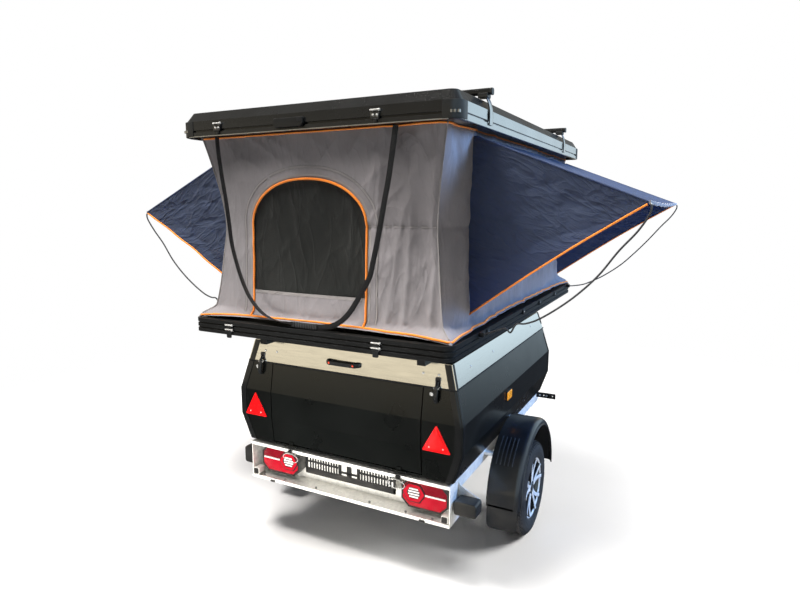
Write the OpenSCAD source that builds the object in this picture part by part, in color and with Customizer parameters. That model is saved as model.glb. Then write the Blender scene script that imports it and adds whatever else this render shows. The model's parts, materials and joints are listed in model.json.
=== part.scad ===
// Single-axle camping box trailer with an opened pop-up roof tent on its lid.
// +X is the right-hand side, +Y points along the drawbar, +Z is up, Z = 0 is the ground.

/* [Box body] */
// Length of the box, rear face to front face
body_len = 1600; // [1500:10:1640]
// Width of the box across its upright middle facet
body_w = 1286; // [1270:2:1290]
// Width of the box at its floor
base_w = 1190; // [1180:5:1200]
// Width of the box at the top of its lid
top_w = 1140; // [1100:5:1160]
// Height of the underside of the box above the ground
base_z = 562; // [555:1:570]
// How far the ends lean in at the top of the lid
end_lean_top = 45; // [30:1:50]
// How far the ends lean in at the floor
end_lean_base = 14; // [8:1:18]
// Height where the lower facet meets the upright facet
facet_low_z = 706; // [690:1:720]
// Height where the upright facet meets the upper facet
facet_high_z = 846; // [820:1:860]
// Height where the lid sits on the box
skirt_z = 1000; // [990:1:1010]
// Height of the flat top of the lid
lid_top_z = 1112; // [1105:1:1118]
// Thickness of the walls, tailgate, floor and lid
wall_t = 20; // [15:1:24]
// Width of the tailgate in the rear face
tailgate_w = 870; // [800:2:874]

/* [Roof tent] */
// Length of the tent tray
tray_len = 2222; // [2200:2:2230]
// Width of the tent tray
tray_w = 1380; // [1360:2:1390]
// Height of the underside of the tray
tray_z = 1205; // [1200:1:1210]
// Height of the tray's extruded rim
tray_h = 66; // [60:1:70]
// How far the tray reaches behind the box
tray_overhang = 257; // [250:1:260]
// Width of the roof shell
shell_w = 1412; // [1400:2:1420]
// Height of the lower edge of the open roof shell
shell_z = 2135; // [2100:5:2140]
// Height of the upright band of the roof shell
shell_band_h = 71; // [65:1:75]
// Height of the bevel above the band
shell_bevel_h = 42; // [30:1:44]
// Width over the two fabric awnings
awning_span = 2716; // [2600:4:2720]
// Height of the outer edge of the awnings
awning_z = 1827; // [1800:1:1840]
// How much lower the left awning hangs at its outer edge
awning_drop = 50; // [0:5:60]

/* [Running gear] */
// Outer diameter of the road tyres
tyre_d = 522; // [510:1:526]
// Width of the road tyres
tyre_w = 157; // [150:1:158]
// Diameter of the rim's outer flange
rim_d = 328; // [320:1:336]
// Distance of the tyre's middle from the centre line
track_half = 714; // [712:1:718]
// Distance of the axle line from the rear face
axle_from_rear = 745; // [740:1:760]
// Outer radius of the mudguard's arch
guard_r = 362; // [355:1:366]
// Distance of the coupling nose from the rear face
nose_from_rear = 2857; // [2850:1:2860]
// Diameter of the coupling's ball socket
ball_d = 50; // [50:1:50]
// Diameter of the jockey wheel
jockey_d = 200; // [196:1:204]

/* [Hidden] */
$fn = 48;
// The origin lies under the middle of the whole outline, so the rear face is at rear_y.
latch_proud = 16;
rear_y = -(nose_from_rear - tray_overhang - latch_proud) / 2;
front_y = rear_y + body_len;
axle_y = rear_y + axle_from_rear;
tray_y0 = rear_y - tray_overhang;
nose_y = rear_y + nose_from_rear;
wheel_z = tyre_d / 2;

// Box: half widths of its section at each height
half_base = base_w / 2;
half_mid = body_w / 2;
half_top = top_w / 2;
half_skirt = half_mid - (half_mid - half_top) * (skirt_z - facet_high_z) / (lid_top_z - facet_high_z);
end_lean_skirt = end_lean_top * (skirt_z - facet_high_z) / (lid_top_z - facet_high_z);
seam = 5;
tailgate_z0 = base_z + 14;
gate_hinge_y = rear_y + 5;
gate_hinge_z = base_z + 7;

// Chassis
rail_w = 40;
rail_h = 70;
rail_x = 565;
rail_z0 = base_z - rail_h;
cross_h = 50;
cross_y = [rear_y + 150, rear_y + 560, rear_y + 1080, rear_y + 1540];
drawbar_h = 60;
drawbar_w = 50;
drawbar_z = rail_z0 - drawbar_h / 2;
drawbar_tail = [330, rear_y + 1080];
drawbar_tip = [35, nose_y - 330];
bumper_half = 585;
bumper_z0 = 346;
bumper_z1 = 550;
bumper_depth = 120;
bumper_t = 4;

// Running gear
axle_beam_y = axle_y + 150;
axle_beam_z = rail_z0 - 70;
guard_t = 6;
guard_in_x = 628;
guard_out_x = 806;
guard_z = 290;
guard_flange = 34;
jockey_y = nose_y - 545;
jockey_trail = 45;
stem_r = 24;

// Tent
tray_y1 = tray_y0 + tray_len;
board_t = 22;
tray_top = tray_z + tray_h;
wall_half = 636;
wall_y0 = tray_y0 + 62;
wall_y1 = tray_y1 - 62;
cloth_t = 5;
wall_top = shell_z + 18;
door_x0 = -362;
door_x1 = 262;
door_z0 = 1342;
door_r = (door_x1 - door_x0) / 2;
door_spring_z = 1935 - door_r;
awning_y0 = rear_y + 45;
awning_y1 = rear_y + 2055;
awning_wall_y0 = rear_y + 60;
awning_wall_y1 = rear_y + 1850;
awning_low_z = 1346;
awning_top_z = 2108;
rod_d = 8;
bar_z = 2283;
bar_r = 15;
bar_y = [rear_y + 95, rear_y + 1490];

// Route of the pull-down strap's middle line, and its section
strap_route = [
  [-500, -238, 2128], [-496, -236, 2050], [-484, -234, 1950], [-468, -233, 1850],
  [-455, -232, 1745], [-444, -232, 1645], [-420, -232, 1555], [-388, -233, 1470],
  [-350, -234, 1400], [-305, -235, 1350], [-260, -236, 1318], [-205, -238, 1300],
  [-140, -240, 1291], [-60, -241, 1288], [20, -241, 1288], [90, -240, 1293],
  [150, -238, 1308], [200, -236, 1336], [235, -235, 1372], [262, -234, 1415],
  [288, -233, 1465], [308, -232, 1525], [325, -232, 1590], [342, -232, 1660],
  [360, -232, 1740], [378, -232, 1830], [398, -233, 1920], [416, -235, 2020],
  [434, -238, 2128]
];
strap_w = 24;
strap_t = 4;

// Awning rods, right-hand side: from the tray up to the awning's outer corner
rod_rear_route = [
  [704, 60, 1262], [760, 60, 1278], [838, 60, 1304], [890, 60, 1322], [943, 60, 1350],
  [1020, 60, 1402], [1098, 60, 1467], [1175, 60, 1548], [1244, 60, 1645],
  [1308, 58, 1722], [1348, 50, 1790], [1353, 48, 1821]
];
rod_front_route = [
  [704, 1850, 1262], [740, 1866, 1264], [800, 1890, 1275], [860, 1914, 1302], [930, 1944, 1342],
  [1024, 1980, 1412], [1100, 2004, 1488], [1180, 2026, 1578], [1262, 2040, 1680],
  [1318, 2046, 1745], [1350, 2050, 1796], [1354, 2052, 1821]
];

// ---- Shared shapes -------------------------------------------------------

// A box centred on X, from y0 to y1 and z0 to z1.
module centred_box(w, y0, y1, z0, z1) {
  translate([-w / 2, y0, z0]) cube([w, y1 - y0, z1 - z0]);
}

// A box between two corners.
module box_between(a, b) {
  translate(a) cube(b - a);
}

// Draws its children in an X-Z outline and gives it a depth along Y.
module along_y(y0, y1) {
  translate([0, y1, 0]) rotate([90, 0, 0]) linear_extrude(y1 - y0) children();
}

// Draws its children in a Y-Z outline and gives it a width along X.
module along_x(x0, x1) {
  translate([x0, 0, 0]) rotate([90, 0, 90]) linear_extrude(x1 - x0) children();
}

// A round bar along X.
module bar_x(r, x0, x1, y, z) {
  translate([x0, y, z]) rotate([0, 90, 0]) cylinder(r = r, h = x1 - x0);
}

// Both sides of the trailer.
module both_sides() {
  children();
  mirror([1, 0, 0]) children();
}

// A rectangle with rounded corners, seen from above.
module round_plate(w, y0, y1, r, inset = 0) {
  rr = r - inset;
  x = w / 2 - r;
  union() {
    translate([-w / 2 + inset, y0 + r]) square([w - 2 * inset, y1 - y0 - 2 * r]);
    translate([-x, y0 + inset]) square([2 * x, y1 - y0 - 2 * inset]);
    for (sx = [-x, x], yy = [y0 + r, y1 - r]) translate([sx, yy]) circle(r = rr);
  }
}

function unit(v) = v / norm(v);

// Direction of a route at point i.
function heading(p, i) = unit(p[min(i + 1, len(p) - 1)] - p[max(i - 1, 0)]);

// One ring of a swept tube: an ellipse of a by b, with its long side along 'wide'.
function ring(c, t, wide, a, b, sides) =
  let (n = unit(cross(t, wide)), w = unit(cross(n, t)))
  [for (k = [0:sides - 1]) c + w * (a / 2 * cos(360 * k / sides)) + n * (b / 2 * sin(360 * k / sides))];

// A tube or flat band swept along a route.
module sweep(p, a, b, wide, sides = 8) {
  n = len(p);
  pts = [for (i = [0:n - 1]) each ring(p[i], heading(p, i), wide, a, b, sides)];
  walls = [for (i = [0:n - 2], k = [0:sides - 1]) let (m = (k + 1) % sides)
    each [[i * sides + k, (i + 1) * sides + k, i * sides + m],
          [i * sides + m, (i + 1) * sides + k, (i + 1) * sides + m]]];
  ends = [for (k = [1:sides - 2]) each
    [[0, k, k + 1], [(n - 1) * sides, (n - 1) * sides + k + 1, (n - 1) * sides + k]]];
  polyhedron(points = pts, faces = concat(walls, ends));
}

function from_rear(p) = [for (q = p) [q[0], q[1] + rear_y, q[2]]];

// ---- Chassis -------------------------------------------------------------

// Two long rails joined by cross members, with the mudguards' stays, hot-dip galvanised.
module chassis_frame() {
  color("silver") {
    both_sides()
      box_between([rail_x - rail_w / 2, rear_y + bumper_depth, rail_z0],
                  [rail_x + rail_w / 2, front_y - 10, base_z]);
    for (y = cross_y)
      centred_box(2 * rail_x - rail_w, y - 25, y + 25, base_z - cross_h, base_z);
    both_sides()
      for (y = [-276, 242])
        box_between([rail_x + rail_w / 2, axle_y + y, 524], [guard_in_x, axle_y + y + 34, 540]);
  }
}

// One arm of the drawbar, a rectangular tube set at a slant.
module drawbar_arm() {
  run = drawbar_tip - drawbar_tail;
  angle = atan2(run[1], run[0]);
  translate([drawbar_tail[0], drawbar_tail[1], drawbar_z]) rotate([0, 0, angle])
    translate([-120, -drawbar_w / 2, -drawbar_h / 2])
      cube([norm(run) + 120, drawbar_w, drawbar_h]);
}

// V-shaped drawbar with its nose plate, which carries the coupling.
module drawbar() {
  color("silver") {
    both_sides() drawbar_arm();
    centred_box(90, nose_y - 420, nose_y - 150, drawbar_z - 27, drawbar_z + 33);
  }
}

// Pressed coupling head with its ball socket and lifting handle.
module coupling_head() {
  color("dimgray")
    difference() {
      union() {
        along_x(-52, 52) polygon([
          [nose_y - 290, drawbar_z + 33.5], [nose_y - 149, drawbar_z + 33.5],
          [nose_y - 149, drawbar_z - 36], [nose_y - 14, drawbar_z - 36],
          [nose_y, drawbar_z - 18], [nose_y - 8, drawbar_z + 30],
          [nose_y - 60, drawbar_z + 56], [nose_y - 290, drawbar_z + 56]
        ]);
        box_between([-17, nose_y - 250, drawbar_z + 56], [17, nose_y - 95, drawbar_z + 76]);
      }
      translate([0, nose_y - 55, drawbar_z - 40]) cylinder(r = ball_d / 2, h = 64);
    }
}

// Rubber torsion axle tube with its two mounting brackets.
module axle_beam() {
  color("silver") {
    bar_x(38, -rail_x - 20, rail_x + 20, axle_beam_y, axle_beam_z);
    both_sides()
      difference() {
        box_between([rail_x - 34, axle_beam_y - 60, axle_beam_z],
                    [rail_x + 20, axle_beam_y + 60, rail_z0]);
        bar_x(38, rail_x - 40, rail_x + 30, axle_beam_y, axle_beam_z);
      }
  }
}

// Trailing arm, brake drum and stub axle of each wheel.
module suspension_arms() {
  color("dimgray")
    both_sides() {
      difference() {
        union() {
          hull() {
            bar_x(42, rail_x + 21, rail_x + 49, axle_beam_y, axle_beam_z, $fn = 32);
            bar_x(34, rail_x + 21, rail_x + 49, axle_y, wheel_z, $fn = 32);
          }
          bar_x(26, rail_x + 49, track_half - 46, axle_y, wheel_z);
          bar_x(92, track_half - 66, track_half - 20, axle_y, wheel_z);
        }
      }
      bar_x(17, track_half - 20, track_half + 66, axle_y, wheel_z);
    }
}

// ---- Box body ------------------------------------------------------------

// How far the side stands off the centre plane, and how far an end leans in, at each height.
side_line = [
  [half_base, base_z], [half_mid, facet_low_z], [half_mid, facet_high_z],
  [half_skirt, skirt_z], [half_top, lid_top_z]
];
end_line = [
  [end_lean_base, base_z], [0, facet_low_z], [0, facet_high_z],
  [end_lean_skirt, skirt_z], [end_lean_top, lid_top_z]
];

// How far the ends lean in at any height above the upright facet.
function lean_at(z) = z < facet_high_z ? 0 : end_lean_top * (z - facet_high_z) / (lid_top_z - facet_high_z);

function reversed(p) = [for (i = [len(p) - 1:-1:0]) p[i]];
function part_of(p, from, to) = [for (i = [from:to]) p[i]];

// Section of one side wall between two of the heights in side_line.
function side_slab(from, to) = let (p = part_of(side_line, from, to))
  concat(p, [for (q = reversed(p)) [q[0] - wall_t, q[1]]]);

// Section of the rear wall between two of the heights in end_line.
function rear_slab(from, to) = let (p = part_of(end_line, from, to))
  concat([for (q = p) [rear_y + q[0], q[1]]], [for (q = reversed(p)) [rear_y + q[0] + wall_t, q[1]]]);

function front_slab(from, to) = [for (q = rear_slab(from, to)) [rear_y + front_y - q[0], q[1]]];

// Everything between the two sides, moved in by 'inset'.
module between_sides(from, to, inset) {
  p = part_of(side_line, from, to);
  along_y(rear_y - 1, front_y + 1)
    polygon(concat([for (q = p) [q[0] - inset, q[1]]], [for (q = reversed(p)) [inset - q[0], q[1]]]));
}

// Everything between the two ends, moved in by 'inset'.
module between_ends(from, to, inset) {
  p = part_of(end_line, from, to);
  along_x(-half_mid - 1, half_mid + 1)
    polygon(concat([for (q = p) [rear_y + q[0] + inset, q[1]]],
                   [for (q = reversed(p)) [front_y - q[0] - inset, q[1]]]));
}

module body_floor() {
  color("#202224")
    centred_box(base_w - 2 * wall_t - 2, rear_y + wall_t + end_lean_base,
                front_y - wall_t - end_lean_base, base_z, base_z + wall_t);
}

// Folded side wall of three facets.
module side_wall() {
  color("#16181a")
    intersection() {
      along_y(rear_y, front_y) polygon(side_slab(0, 3));
      between_ends(0, 3, wall_t);
    }
}

module side_wall_right() { side_wall(); }
module side_wall_left() { mirror([1, 0, 0]) side_wall(); }

module front_wall() {
  color("#16181a") {
    intersection() {
      along_x(-half_mid, half_mid) polygon(front_slab(0, 3));
      between_sides(0, 3, 0);
    }
    both_sides()
      for (x = [262, 362])
        lid_knuckle(x, x + 36, -30);
  }
}

// One knuckle of the lid's hinge between x0 and x1, with a leaf that reaches 'up' from it.
module lid_knuckle(x0, x1, up) {
  y = front_y - end_lean_skirt;
  bar_x(7, x0, x1, y + 9, skirt_z);
  box_between([x0, y - 8, min(skirt_z + sign(up) * 2, skirt_z + up)],
              [x1, y + 5, max(skirt_z + sign(up) * 2, skirt_z + up)]);
}

// One knuckle of the tailgate's hinge, its leaf reaching from z0 to z1 on the face behind it.
module gate_knuckle(x0, x1, z0, z1) {
  bar_x(6, x0, x1, gate_hinge_y, gate_hinge_z);
  box_between([x0, gate_hinge_y + 1, z0], [x1, rear_y + end_lean_base + 6, z1]);
}

// The whole rear wall, from one height in end_line to another.
module rear_wall(from, to) {
  intersection() {
    along_x(-half_mid, half_mid) polygon(rear_slab(from, to));
    between_sides(from, to, 0);
  }
}

// Fixed rear panel beside the tailgate, with half of the sill below it.
module rear_panel() {
  y1 = rear_y + 2 * end_lean_top;
  color("#16181a") {
    intersection() {
      rear_wall(0, 3);
      union() {
        box_between([tailgate_w / 2 + seam, rear_y - 1, base_z], [half_mid, y1, skirt_z]);
        box_between([0, rear_y - 1, base_z], [half_mid, y1, tailgate_z0 - seam]);
      }
    }
    for (x = [282, 334])
      gate_knuckle(x, x + 22, base_z + 1, gate_hinge_z);
  }
}

module rear_panel_right() { rear_panel(); }
module rear_panel_left() { mirror([1, 0, 0]) rear_panel(); }

module tailgate() {
  color("#16181a") {
    intersection() {
      rear_wall(0, 3);
      centred_box(tailgate_w, rear_y - 1, rear_y + 2 * end_lean_top, tailgate_z0, skirt_z - seam);
    }
    both_sides() gate_knuckle(305, 333, gate_hinge_z + 3, tailgate_z0 + 14);
  }
}

// ---- Rear equipment ------------------------------------------------------

// Folded carrier for lamps and number plate, open to the rear.
module bumper_carrier() {
  color("silver")
    union() {
      along_x(-bumper_half, bumper_half) polygon([
        [rear_y, bumper_z1], [rear_y, bumper_z1 - 16],
        [rear_y + bumper_t, bumper_z1 - 16], [rear_y + bumper_t, bumper_z1 - bumper_t],
        [rear_y + bumper_depth - bumper_t, bumper_z1 - bumper_t],
        [rear_y + bumper_depth - bumper_t, bumper_z0 + bumper_t],
        [rear_y + bumper_t, bumper_z0 + bumper_t], [rear_y + bumper_t, bumper_z0 + 16],
        [rear_y, bumper_z0 + 16], [rear_y, bumper_z0],
        [rear_y + bumper_depth, bumper_z0], [rear_y + bumper_depth, bumper_z1]
      ]);
      both_sides()
        box_between([bumper_half - bumper_t, rear_y + bumper_t, bumper_z0],
                    [bumper_half, rear_y + bumper_depth, bumper_z1]);
    }
}

// Long hexagonal lamp outline.
module lamp_outline(w, h) {
  polygon([[-w / 2, -h * 0.2], [-w / 2 + h * 0.3, -h / 2], [w / 2 - h * 0.3, -h / 2],
           [w / 2, -h * 0.2], [w / 2, h * 0.2], [w / 2 - h * 0.3, h / 2],
           [-w / 2 + h * 0.3, h / 2], [-w / 2, h * 0.2]]);
}

module rear_lamps() {
  color("red")
    both_sides()
      along_y(rear_y + 50, rear_y + bumper_depth - bumper_t)
        translate([433, 446]) lamp_outline(250, 148);
}

module plate_holder() {
  color("#101010")
    difference() {
      centred_box(540, rear_y + 62, rear_y + 74, 410, 522);
      for (i = [-3:3])
        box_between([i * 70 - 22, rear_y + 60, 440], [i * 70 + 22, rear_y + 66, 490]);
    }
}

module triangle_reflectors() {
  color("red")
    both_sides()
      along_y(rear_y - 7, rear_y) polygon([[443, 706], [589, 706], [516, 837]]);
}

module side_reflectors() {
  color("orange")
    both_sides()
      box_between([half_mid, rear_y + 650, 772], [half_mid + 9, rear_y + 716, 826]);
}

// Plastic buffer on a flat bracket at each rear corner.
module corner_buffers() {
  color("#141414")
    both_sides() {
      box_between([604, rear_y + 30, 403], [724, rear_y + 120, 497]);
      box_between([bumper_half, rear_y + 60, 428], [604, rear_y + 90, 472]);
    }
}

// Flat bracket that reaches out from the front end of each rail.
module side_brackets() {
  color("#141414")
    both_sides()
      difference() {
        box_between([rail_x + rail_w / 2, front_y - 62, 524], [712, front_y - 52, 558]);
        for (x = [634, 694])
          translate([x, front_y - 45, 541]) rotate([90, 0, 0]) cylinder(r = 4.5, h = 24);
      }
}

// ---- Mudguards and wheels ------------------------------------------------

// Side view of the mudguard: an arch that runs down behind the wheel.
module guard_outline(r) {
  intersection() {
    union() {
      circle(r = r, $fn = 64);
      translate([-r, -guard_z + 170]) square([r, guard_z - 170]);
    }
    union() {
      translate([-r, -guard_z + 170]) square([r, r + guard_z - 170]);
      translate([-1, 10]) square([r + 2, r]);
    }
  }
}

module mudguard() {
  color("#1b1d20")
    difference() {
      along_x(guard_in_x, guard_out_x)
        translate([axle_y, guard_z]) guard_outline(guard_r);
      along_x(guard_in_x - 1, guard_out_x - guard_t)
        translate([axle_y, guard_z]) guard_hollow();
      along_x(guard_out_x - guard_t - 1, guard_out_x + 1)
        translate([axle_y, guard_z]) wheel_cutout();
    }
}

// Space under the arch, inside the mudguard's skin.
module guard_hollow() {
  r = guard_r - guard_t;
  union() {
    circle(r = r, $fn = 64);
    translate([-r, -guard_z]) square([2 * r, guard_z]);
  }
}

// Opening of the outer face, which leaves a flange round the arch.
module wheel_cutout() {
  r = guard_r - guard_flange;
  union() {
    circle(r = r, $fn = 64);
    translate([-r, -guard_z]) square([2 * r, guard_z]);
  }
}

module mudguard_right() { mudguard(); }
module mudguard_left() { mirror([1, 0, 0]) mudguard(); }

// Tyre section turned about the axle.
module tyre() {
  r = tyre_d / 2;
  w = tyre_w / 2;
  bead = rim_d / 2 - 8;
  color("#191919")
    translate([track_half, axle_y, wheel_z]) rotate([0, 90, 0])
      rotate_extrude($fn = 96)
        polygon([
          [bead, -w + 16], [bead + 14, -w + 6], [bead + 45, -w], [r - 34, -w + 2],
          [r - 12, -w + 12], [r - 3, -w + 26], [r, -w + 46],
          [r, w - 46], [r - 3, w - 26], [r - 12, w - 12],
          [r - 34, w - 2], [bead + 45, w], [bead + 14, w - 6], [bead, w - 16]
        ]);
}

// Alloy wheel: rim barrel, hub disc and five spokes.
module rim() {
  rim_r = rim_d / 2 - 9;
  w = tyre_w / 2 - 17;
  color("silver")
    translate([track_half, axle_y, wheel_z]) rotate([0, 90, 0])
      difference() {
        union() {
          difference() {
            translate([0, 0, -w]) cylinder(r = rim_r, h = 2 * w, $fn = 96);
            translate([0, 0, -w - 1]) cylinder(r = rim_r - 10, h = 2 * w + 2, $fn = 96);
          }
          translate([0, 0, 22]) cylinder(r = 46, h = 34);
          for (a = [0:72:288])
            rotate([0, 0, a]) translate([-17, 40, 26]) cube([34, rim_r - 46, 22]);
        }
        translate([0, 0, -w - 2]) cylinder(r = 17.5, h = w + 69);
      }
}

module tyre_right() { tyre(); }
module tyre_left() { mirror([1, 0, 0]) tyre(); }
module rim_right() { rim(); }
module rim_left() { mirror([1, 0, 0]) rim(); }

// ---- Jockey wheel --------------------------------------------------------

// Cross plate between the drawbar arms with the clamp ring of the jockey wheel.
module jockey_clamp() {
  color("silver")
    difference() {
      union() {
        centred_box(190, jockey_y - 34, jockey_y + 34, drawbar_z + 30, drawbar_z + 42);
        translate([0, jockey_y, drawbar_z + 42]) cylinder(r = 38, h = 34);
        box_between([30, jockey_y - 10, drawbar_z + 46], [84, jockey_y + 10, drawbar_z + 66]);
      }
      translate([0, jockey_y, drawbar_z]) cylinder(r = stem_r + 0.5, h = 140);
    }
}

// Upright tube with its spindle head and crank.
module jockey_stem() {
  color("silver")
    translate([0, jockey_y, 0]) {
      translate([0, 0, jockey_d + 62]) cylinder(r = stem_r, h = 483 - jockey_d);
      translate([0, 0, 545]) cylinder(r = 30, h = 23);
      translate([0, 0, 568]) cylinder(r = 9, h = 52);
      box_between([-9, -9, 618], [130, 9, 630]);
      translate([121, 0, 630]) cylinder(r = 9, h = 62);
    }
}

// Fork that swivels under the stem and holds the small wheel on trail.
module jockey_fork() {
  z = jockey_d / 2;
  color("silver")
    translate([0, jockey_y, 0])
      difference() {
        union() {
          translate([0, 0, jockey_d + 40]) cylinder(r = 32, h = 21);
          along_y(-jockey_trail - 16, 26) translate([-36, jockey_d + 26]) square([72, 14]);
          for (x = [-36, 30])
            along_x(x, x + 6) polygon([
              [-jockey_trail - 16, z - 16], [-jockey_trail + 16, z - 16],
              [26, jockey_d + 26], [-jockey_trail - 16, jockey_d + 26]
            ]);
          bar_x(8, -42, 42, -jockey_trail, z);
        }
      }
}

module jockey_wheel() {
  z = jockey_d / 2;
  color("#1c1c1c")
    translate([-25, jockey_y - jockey_trail, z]) rotate([0, 90, 0])
      rotate_extrude($fn = 64)
        polygon([
          [8.6, 0], [40, 0], [44, 8], [z - 28, 8], [z - 22, 0], [z - 8, 2], [z, 14],
          [z, 36], [z - 8, 48], [z - 22, 50], [z - 28, 42], [44, 42], [40, 50], [8.6, 50]
        ]);
}

// ---- Lid and tent carrier ------------------------------------------------

// Lid with its leaning silver skirt and the middle knuckles of its hinge.
module lid_shell() {
  color("#d8d8d4") {
    difference() {
      intersection() {
        between_sides(3, 4, 0);
        between_ends(3, 4, 0);
      }
      translate([0, 0, -wall_t])
        intersection() {
          between_sides(3, 4, wall_t);
          between_ends(3, 4, wall_t);
        }
      intersection() {
        between_sides(3, 4, wall_t + 8);
        between_ends(3, 4, wall_t + 6);
        centred_box(body_w, rear_y, front_y, skirt_z - 1, lid_top_z - wall_t);
      }
    }
    both_sides() lid_knuckle(300, 360, 24);
  }
}

// A strip that lies on the leaning rear face between two heights, standing 'off' to 'proud' from it.
module rear_strip(x0, x1, z0, z1, off, proud) {
  along_x(x0, x1) polygon([
    [rear_y + lean_at(z0) - proud, z0], [rear_y + lean_at(z0) - off, z0],
    [rear_y + lean_at(z1) - off, z1], [rear_y + lean_at(z1) - proud, z1]
  ]);
}

// Grab handle in the middle of the rear skirt.
module lid_handle() {
  color("#141414")
    difference() {
      rear_strip(-92, 92, 1040, 1066, 0, 30);
      rear_strip(-60, 60, 1030, 1076, -1, 20);
    }
}

// Two swing latches that draw the lid down onto the box.
module lid_latches() {
  color("#141414")
    both_sides() {
      rear_strip(498, 520, skirt_z, 1034, 0, 24);
      rear_strip(502, 516, 936, skirt_z, 6, 24);
    }
}

// Cross rails that carry the tray on the lid.
module tent_carrier() {
  color("#1d1f21") {
    for (y = [rear_y + 40, rear_y + 780, rear_y + 1540])
      centred_box(1040, y - 30, y + 30, lid_top_z + 34, tray_z);
    both_sides()
      box_between([430, rear_y - 30, lid_top_z], [470, front_y + 30, lid_top_z + 34]);
  }
}

// ---- Roof tent -----------------------------------------------------------

// Tray of extruded profile with two grooves round its rim and a floor board.
module tent_tray() {
  color("#141516")
    difference() {
      translate([0, 0, tray_z]) linear_extrude(tray_h) round_plate(tray_w, tray_y0, tray_y1, 45);
      translate([0, 0, tray_z + board_t]) linear_extrude(tray_h)
        round_plate(tray_w - 80, tray_y0 + 40, tray_y1 - 40, 20);
      for (z = [16, 40])
        translate([0, 0, tray_z + z]) linear_extrude(9)
          difference() {
            round_plate(tray_w + 2, tray_y0 - 1, tray_y1 + 1, 46);
            round_plate(tray_w, tray_y0, tray_y1, 45, 7);
          }
    }
}

// One draw latch body on a rear rim.
module rim_latch(x, y, z) {
  box_between([x - 26, y - 14, z - 30], [x + 26, y, z + 34]);
}

// Draw latches on the tray's rear rim and the four sockets of the awning rods.
module tray_latches() {
  color("#0f0f0f")
    for (x = [-456, 351])
      rim_latch(x, tray_y0, tray_z + 30);
    both_sides()
      for (y = [rear_y + 60, rear_y + 1850])
        box_between([tray_w / 2, y - 16, tray_z + 40], [tray_w / 2 + 10, y + 16, tray_z + 64]);
}

// Draw latches and the pull handle on the shell's rear band.
module shell_latches() {
  color("#0f0f0f") {
    for (x = [-480, 350])
      rim_latch(x, tray_y0 + 8, shell_z + 34);
    box_between([-150, tray_y0 - latch_proud, shell_z + 14], [6, tray_y0 + 8, shell_z + 48]);
  }
}

// Rear wall with its arched doorway.
module tent_wall_rear() {
  color("#8f8c8a")
    along_y(wall_y0, wall_y0 + cloth_t)
      difference() {
        translate([-wall_half, tray_top + 1]) square([2 * wall_half, wall_top - tray_top - 1]);
        doorway(0);
      }
}

// Arched outline of the door, drawn in by 'inset'.
module doorway(inset) {
  mid = (door_x0 + door_x1) / 2;
  union() {
    translate([door_x0 + inset, door_z0 + inset])
      square([2 * door_r - 2 * inset, door_spring_z - door_z0 - inset]);
    translate([mid, door_spring_z]) circle(r = door_r - inset);
  }
}

// Insect-mesh door panel.
module tent_door() {
  color("#1f2122") along_y(wall_y0, wall_y0 + cloth_t) doorway(0.5);
}

module tent_wall_front() {
  color("#8f8c8a")
    along_y(wall_y1 - cloth_t, wall_y1)
      translate([-wall_half, tray_top + 1]) square([2 * wall_half, wall_top - tray_top - 1]);
}

// Side wall with the window opening that the awning shades.
module tent_wall_side() {
  color("#8f8c8a")
    along_x(wall_half - cloth_t, wall_half)
      difference() {
        translate([wall_y0 + cloth_t + 0.5, tray_top + 1])
          square([wall_y1 - wall_y0 - 2 * cloth_t - 1, wall_top - tray_top - 1]);
        translate([rear_y + 260, 1480]) square([1300, 500]);
      }
}

module tent_wall_right() { tent_wall_side(); }
module tent_wall_left() { mirror([1, 0, 0]) tent_wall_side(); }

// One awning: a sloping roof panel between two triangular end panels, its outer edge 'drop' lower.
module awning(drop) {
  x0 = wall_half + 1;
  x1 = awning_span / 2 - 8;
  t = cloth_t;
  z1 = awning_z - drop;
  color("#5b626c") {
    polyhedron(
      points = [
        [x0, awning_wall_y0, awning_top_z], [x0, awning_wall_y1, awning_top_z],
        [x1, awning_y1, z1], [x1, awning_y0, z1],
        [x0, awning_wall_y0, awning_top_z - t], [x0, awning_wall_y1, awning_top_z - t],
        [x1, awning_y1, z1 - t], [x1, awning_y0, z1 - t]
      ],
      faces = [
        [0, 1, 2], [0, 2, 3], [6, 5, 4], [7, 6, 4],
        [1, 0, 4], [1, 4, 5], [2, 1, 5], [2, 5, 6],
        [3, 2, 6], [3, 6, 7], [0, 3, 7], [0, 7, 4]
      ]);
    awning_end([x0, awning_wall_y0], [x1, awning_y0], z1, 1);
    awning_end([x0, awning_wall_y1], [x1, awning_y1], z1, -1);
  }
}

// Triangular end panel of an awning, standing on the line from a to b, with its outer corner at z1.
module awning_end(a, b, z1, side) {
  run = b - a;
  angle = atan2(run[1], run[0]);
  span = norm(run);
  gap = 1;
  translate([a[0], a[1], 0]) rotate([0, 0, angle])
    translate([0, side > 0 ? cloth_t : 0, 0]) rotate([90, 0, 0])
      linear_extrude(cloth_t)
        polygon([
          [0, awning_low_z], [span - 16, z1 - cloth_t - 6],
          [0, awning_top_z - cloth_t - gap]
        ]);
}

module awning_right() { awning(0); }
module awning_left() { mirror([1, 0, 0]) awning(awning_drop); }

// A route whose outer end hangs 'drop' lower than its foot.
function lowered(p, drop) = [for (q = p) [q[0], q[1], q[2] - drop * (q[0] - p[0][0]) / (p[len(p) - 1][0] - p[0][0])]];

// Two sprung rods that hold an awning out.
module awning_rods(drop) {
  color("#7d8085") {
    sweep(lowered(from_rear(rod_rear_route), drop), rod_d, rod_d, [0, 1, 0]);
    sweep(lowered(from_rear(rod_front_route), drop), rod_d, rod_d, [0, 1, 0]);
  }
}

module awning_rods_right() { awning_rods(0); }
module awning_rods_left() { mirror([1, 0, 0]) awning_rods(awning_drop); }

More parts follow.
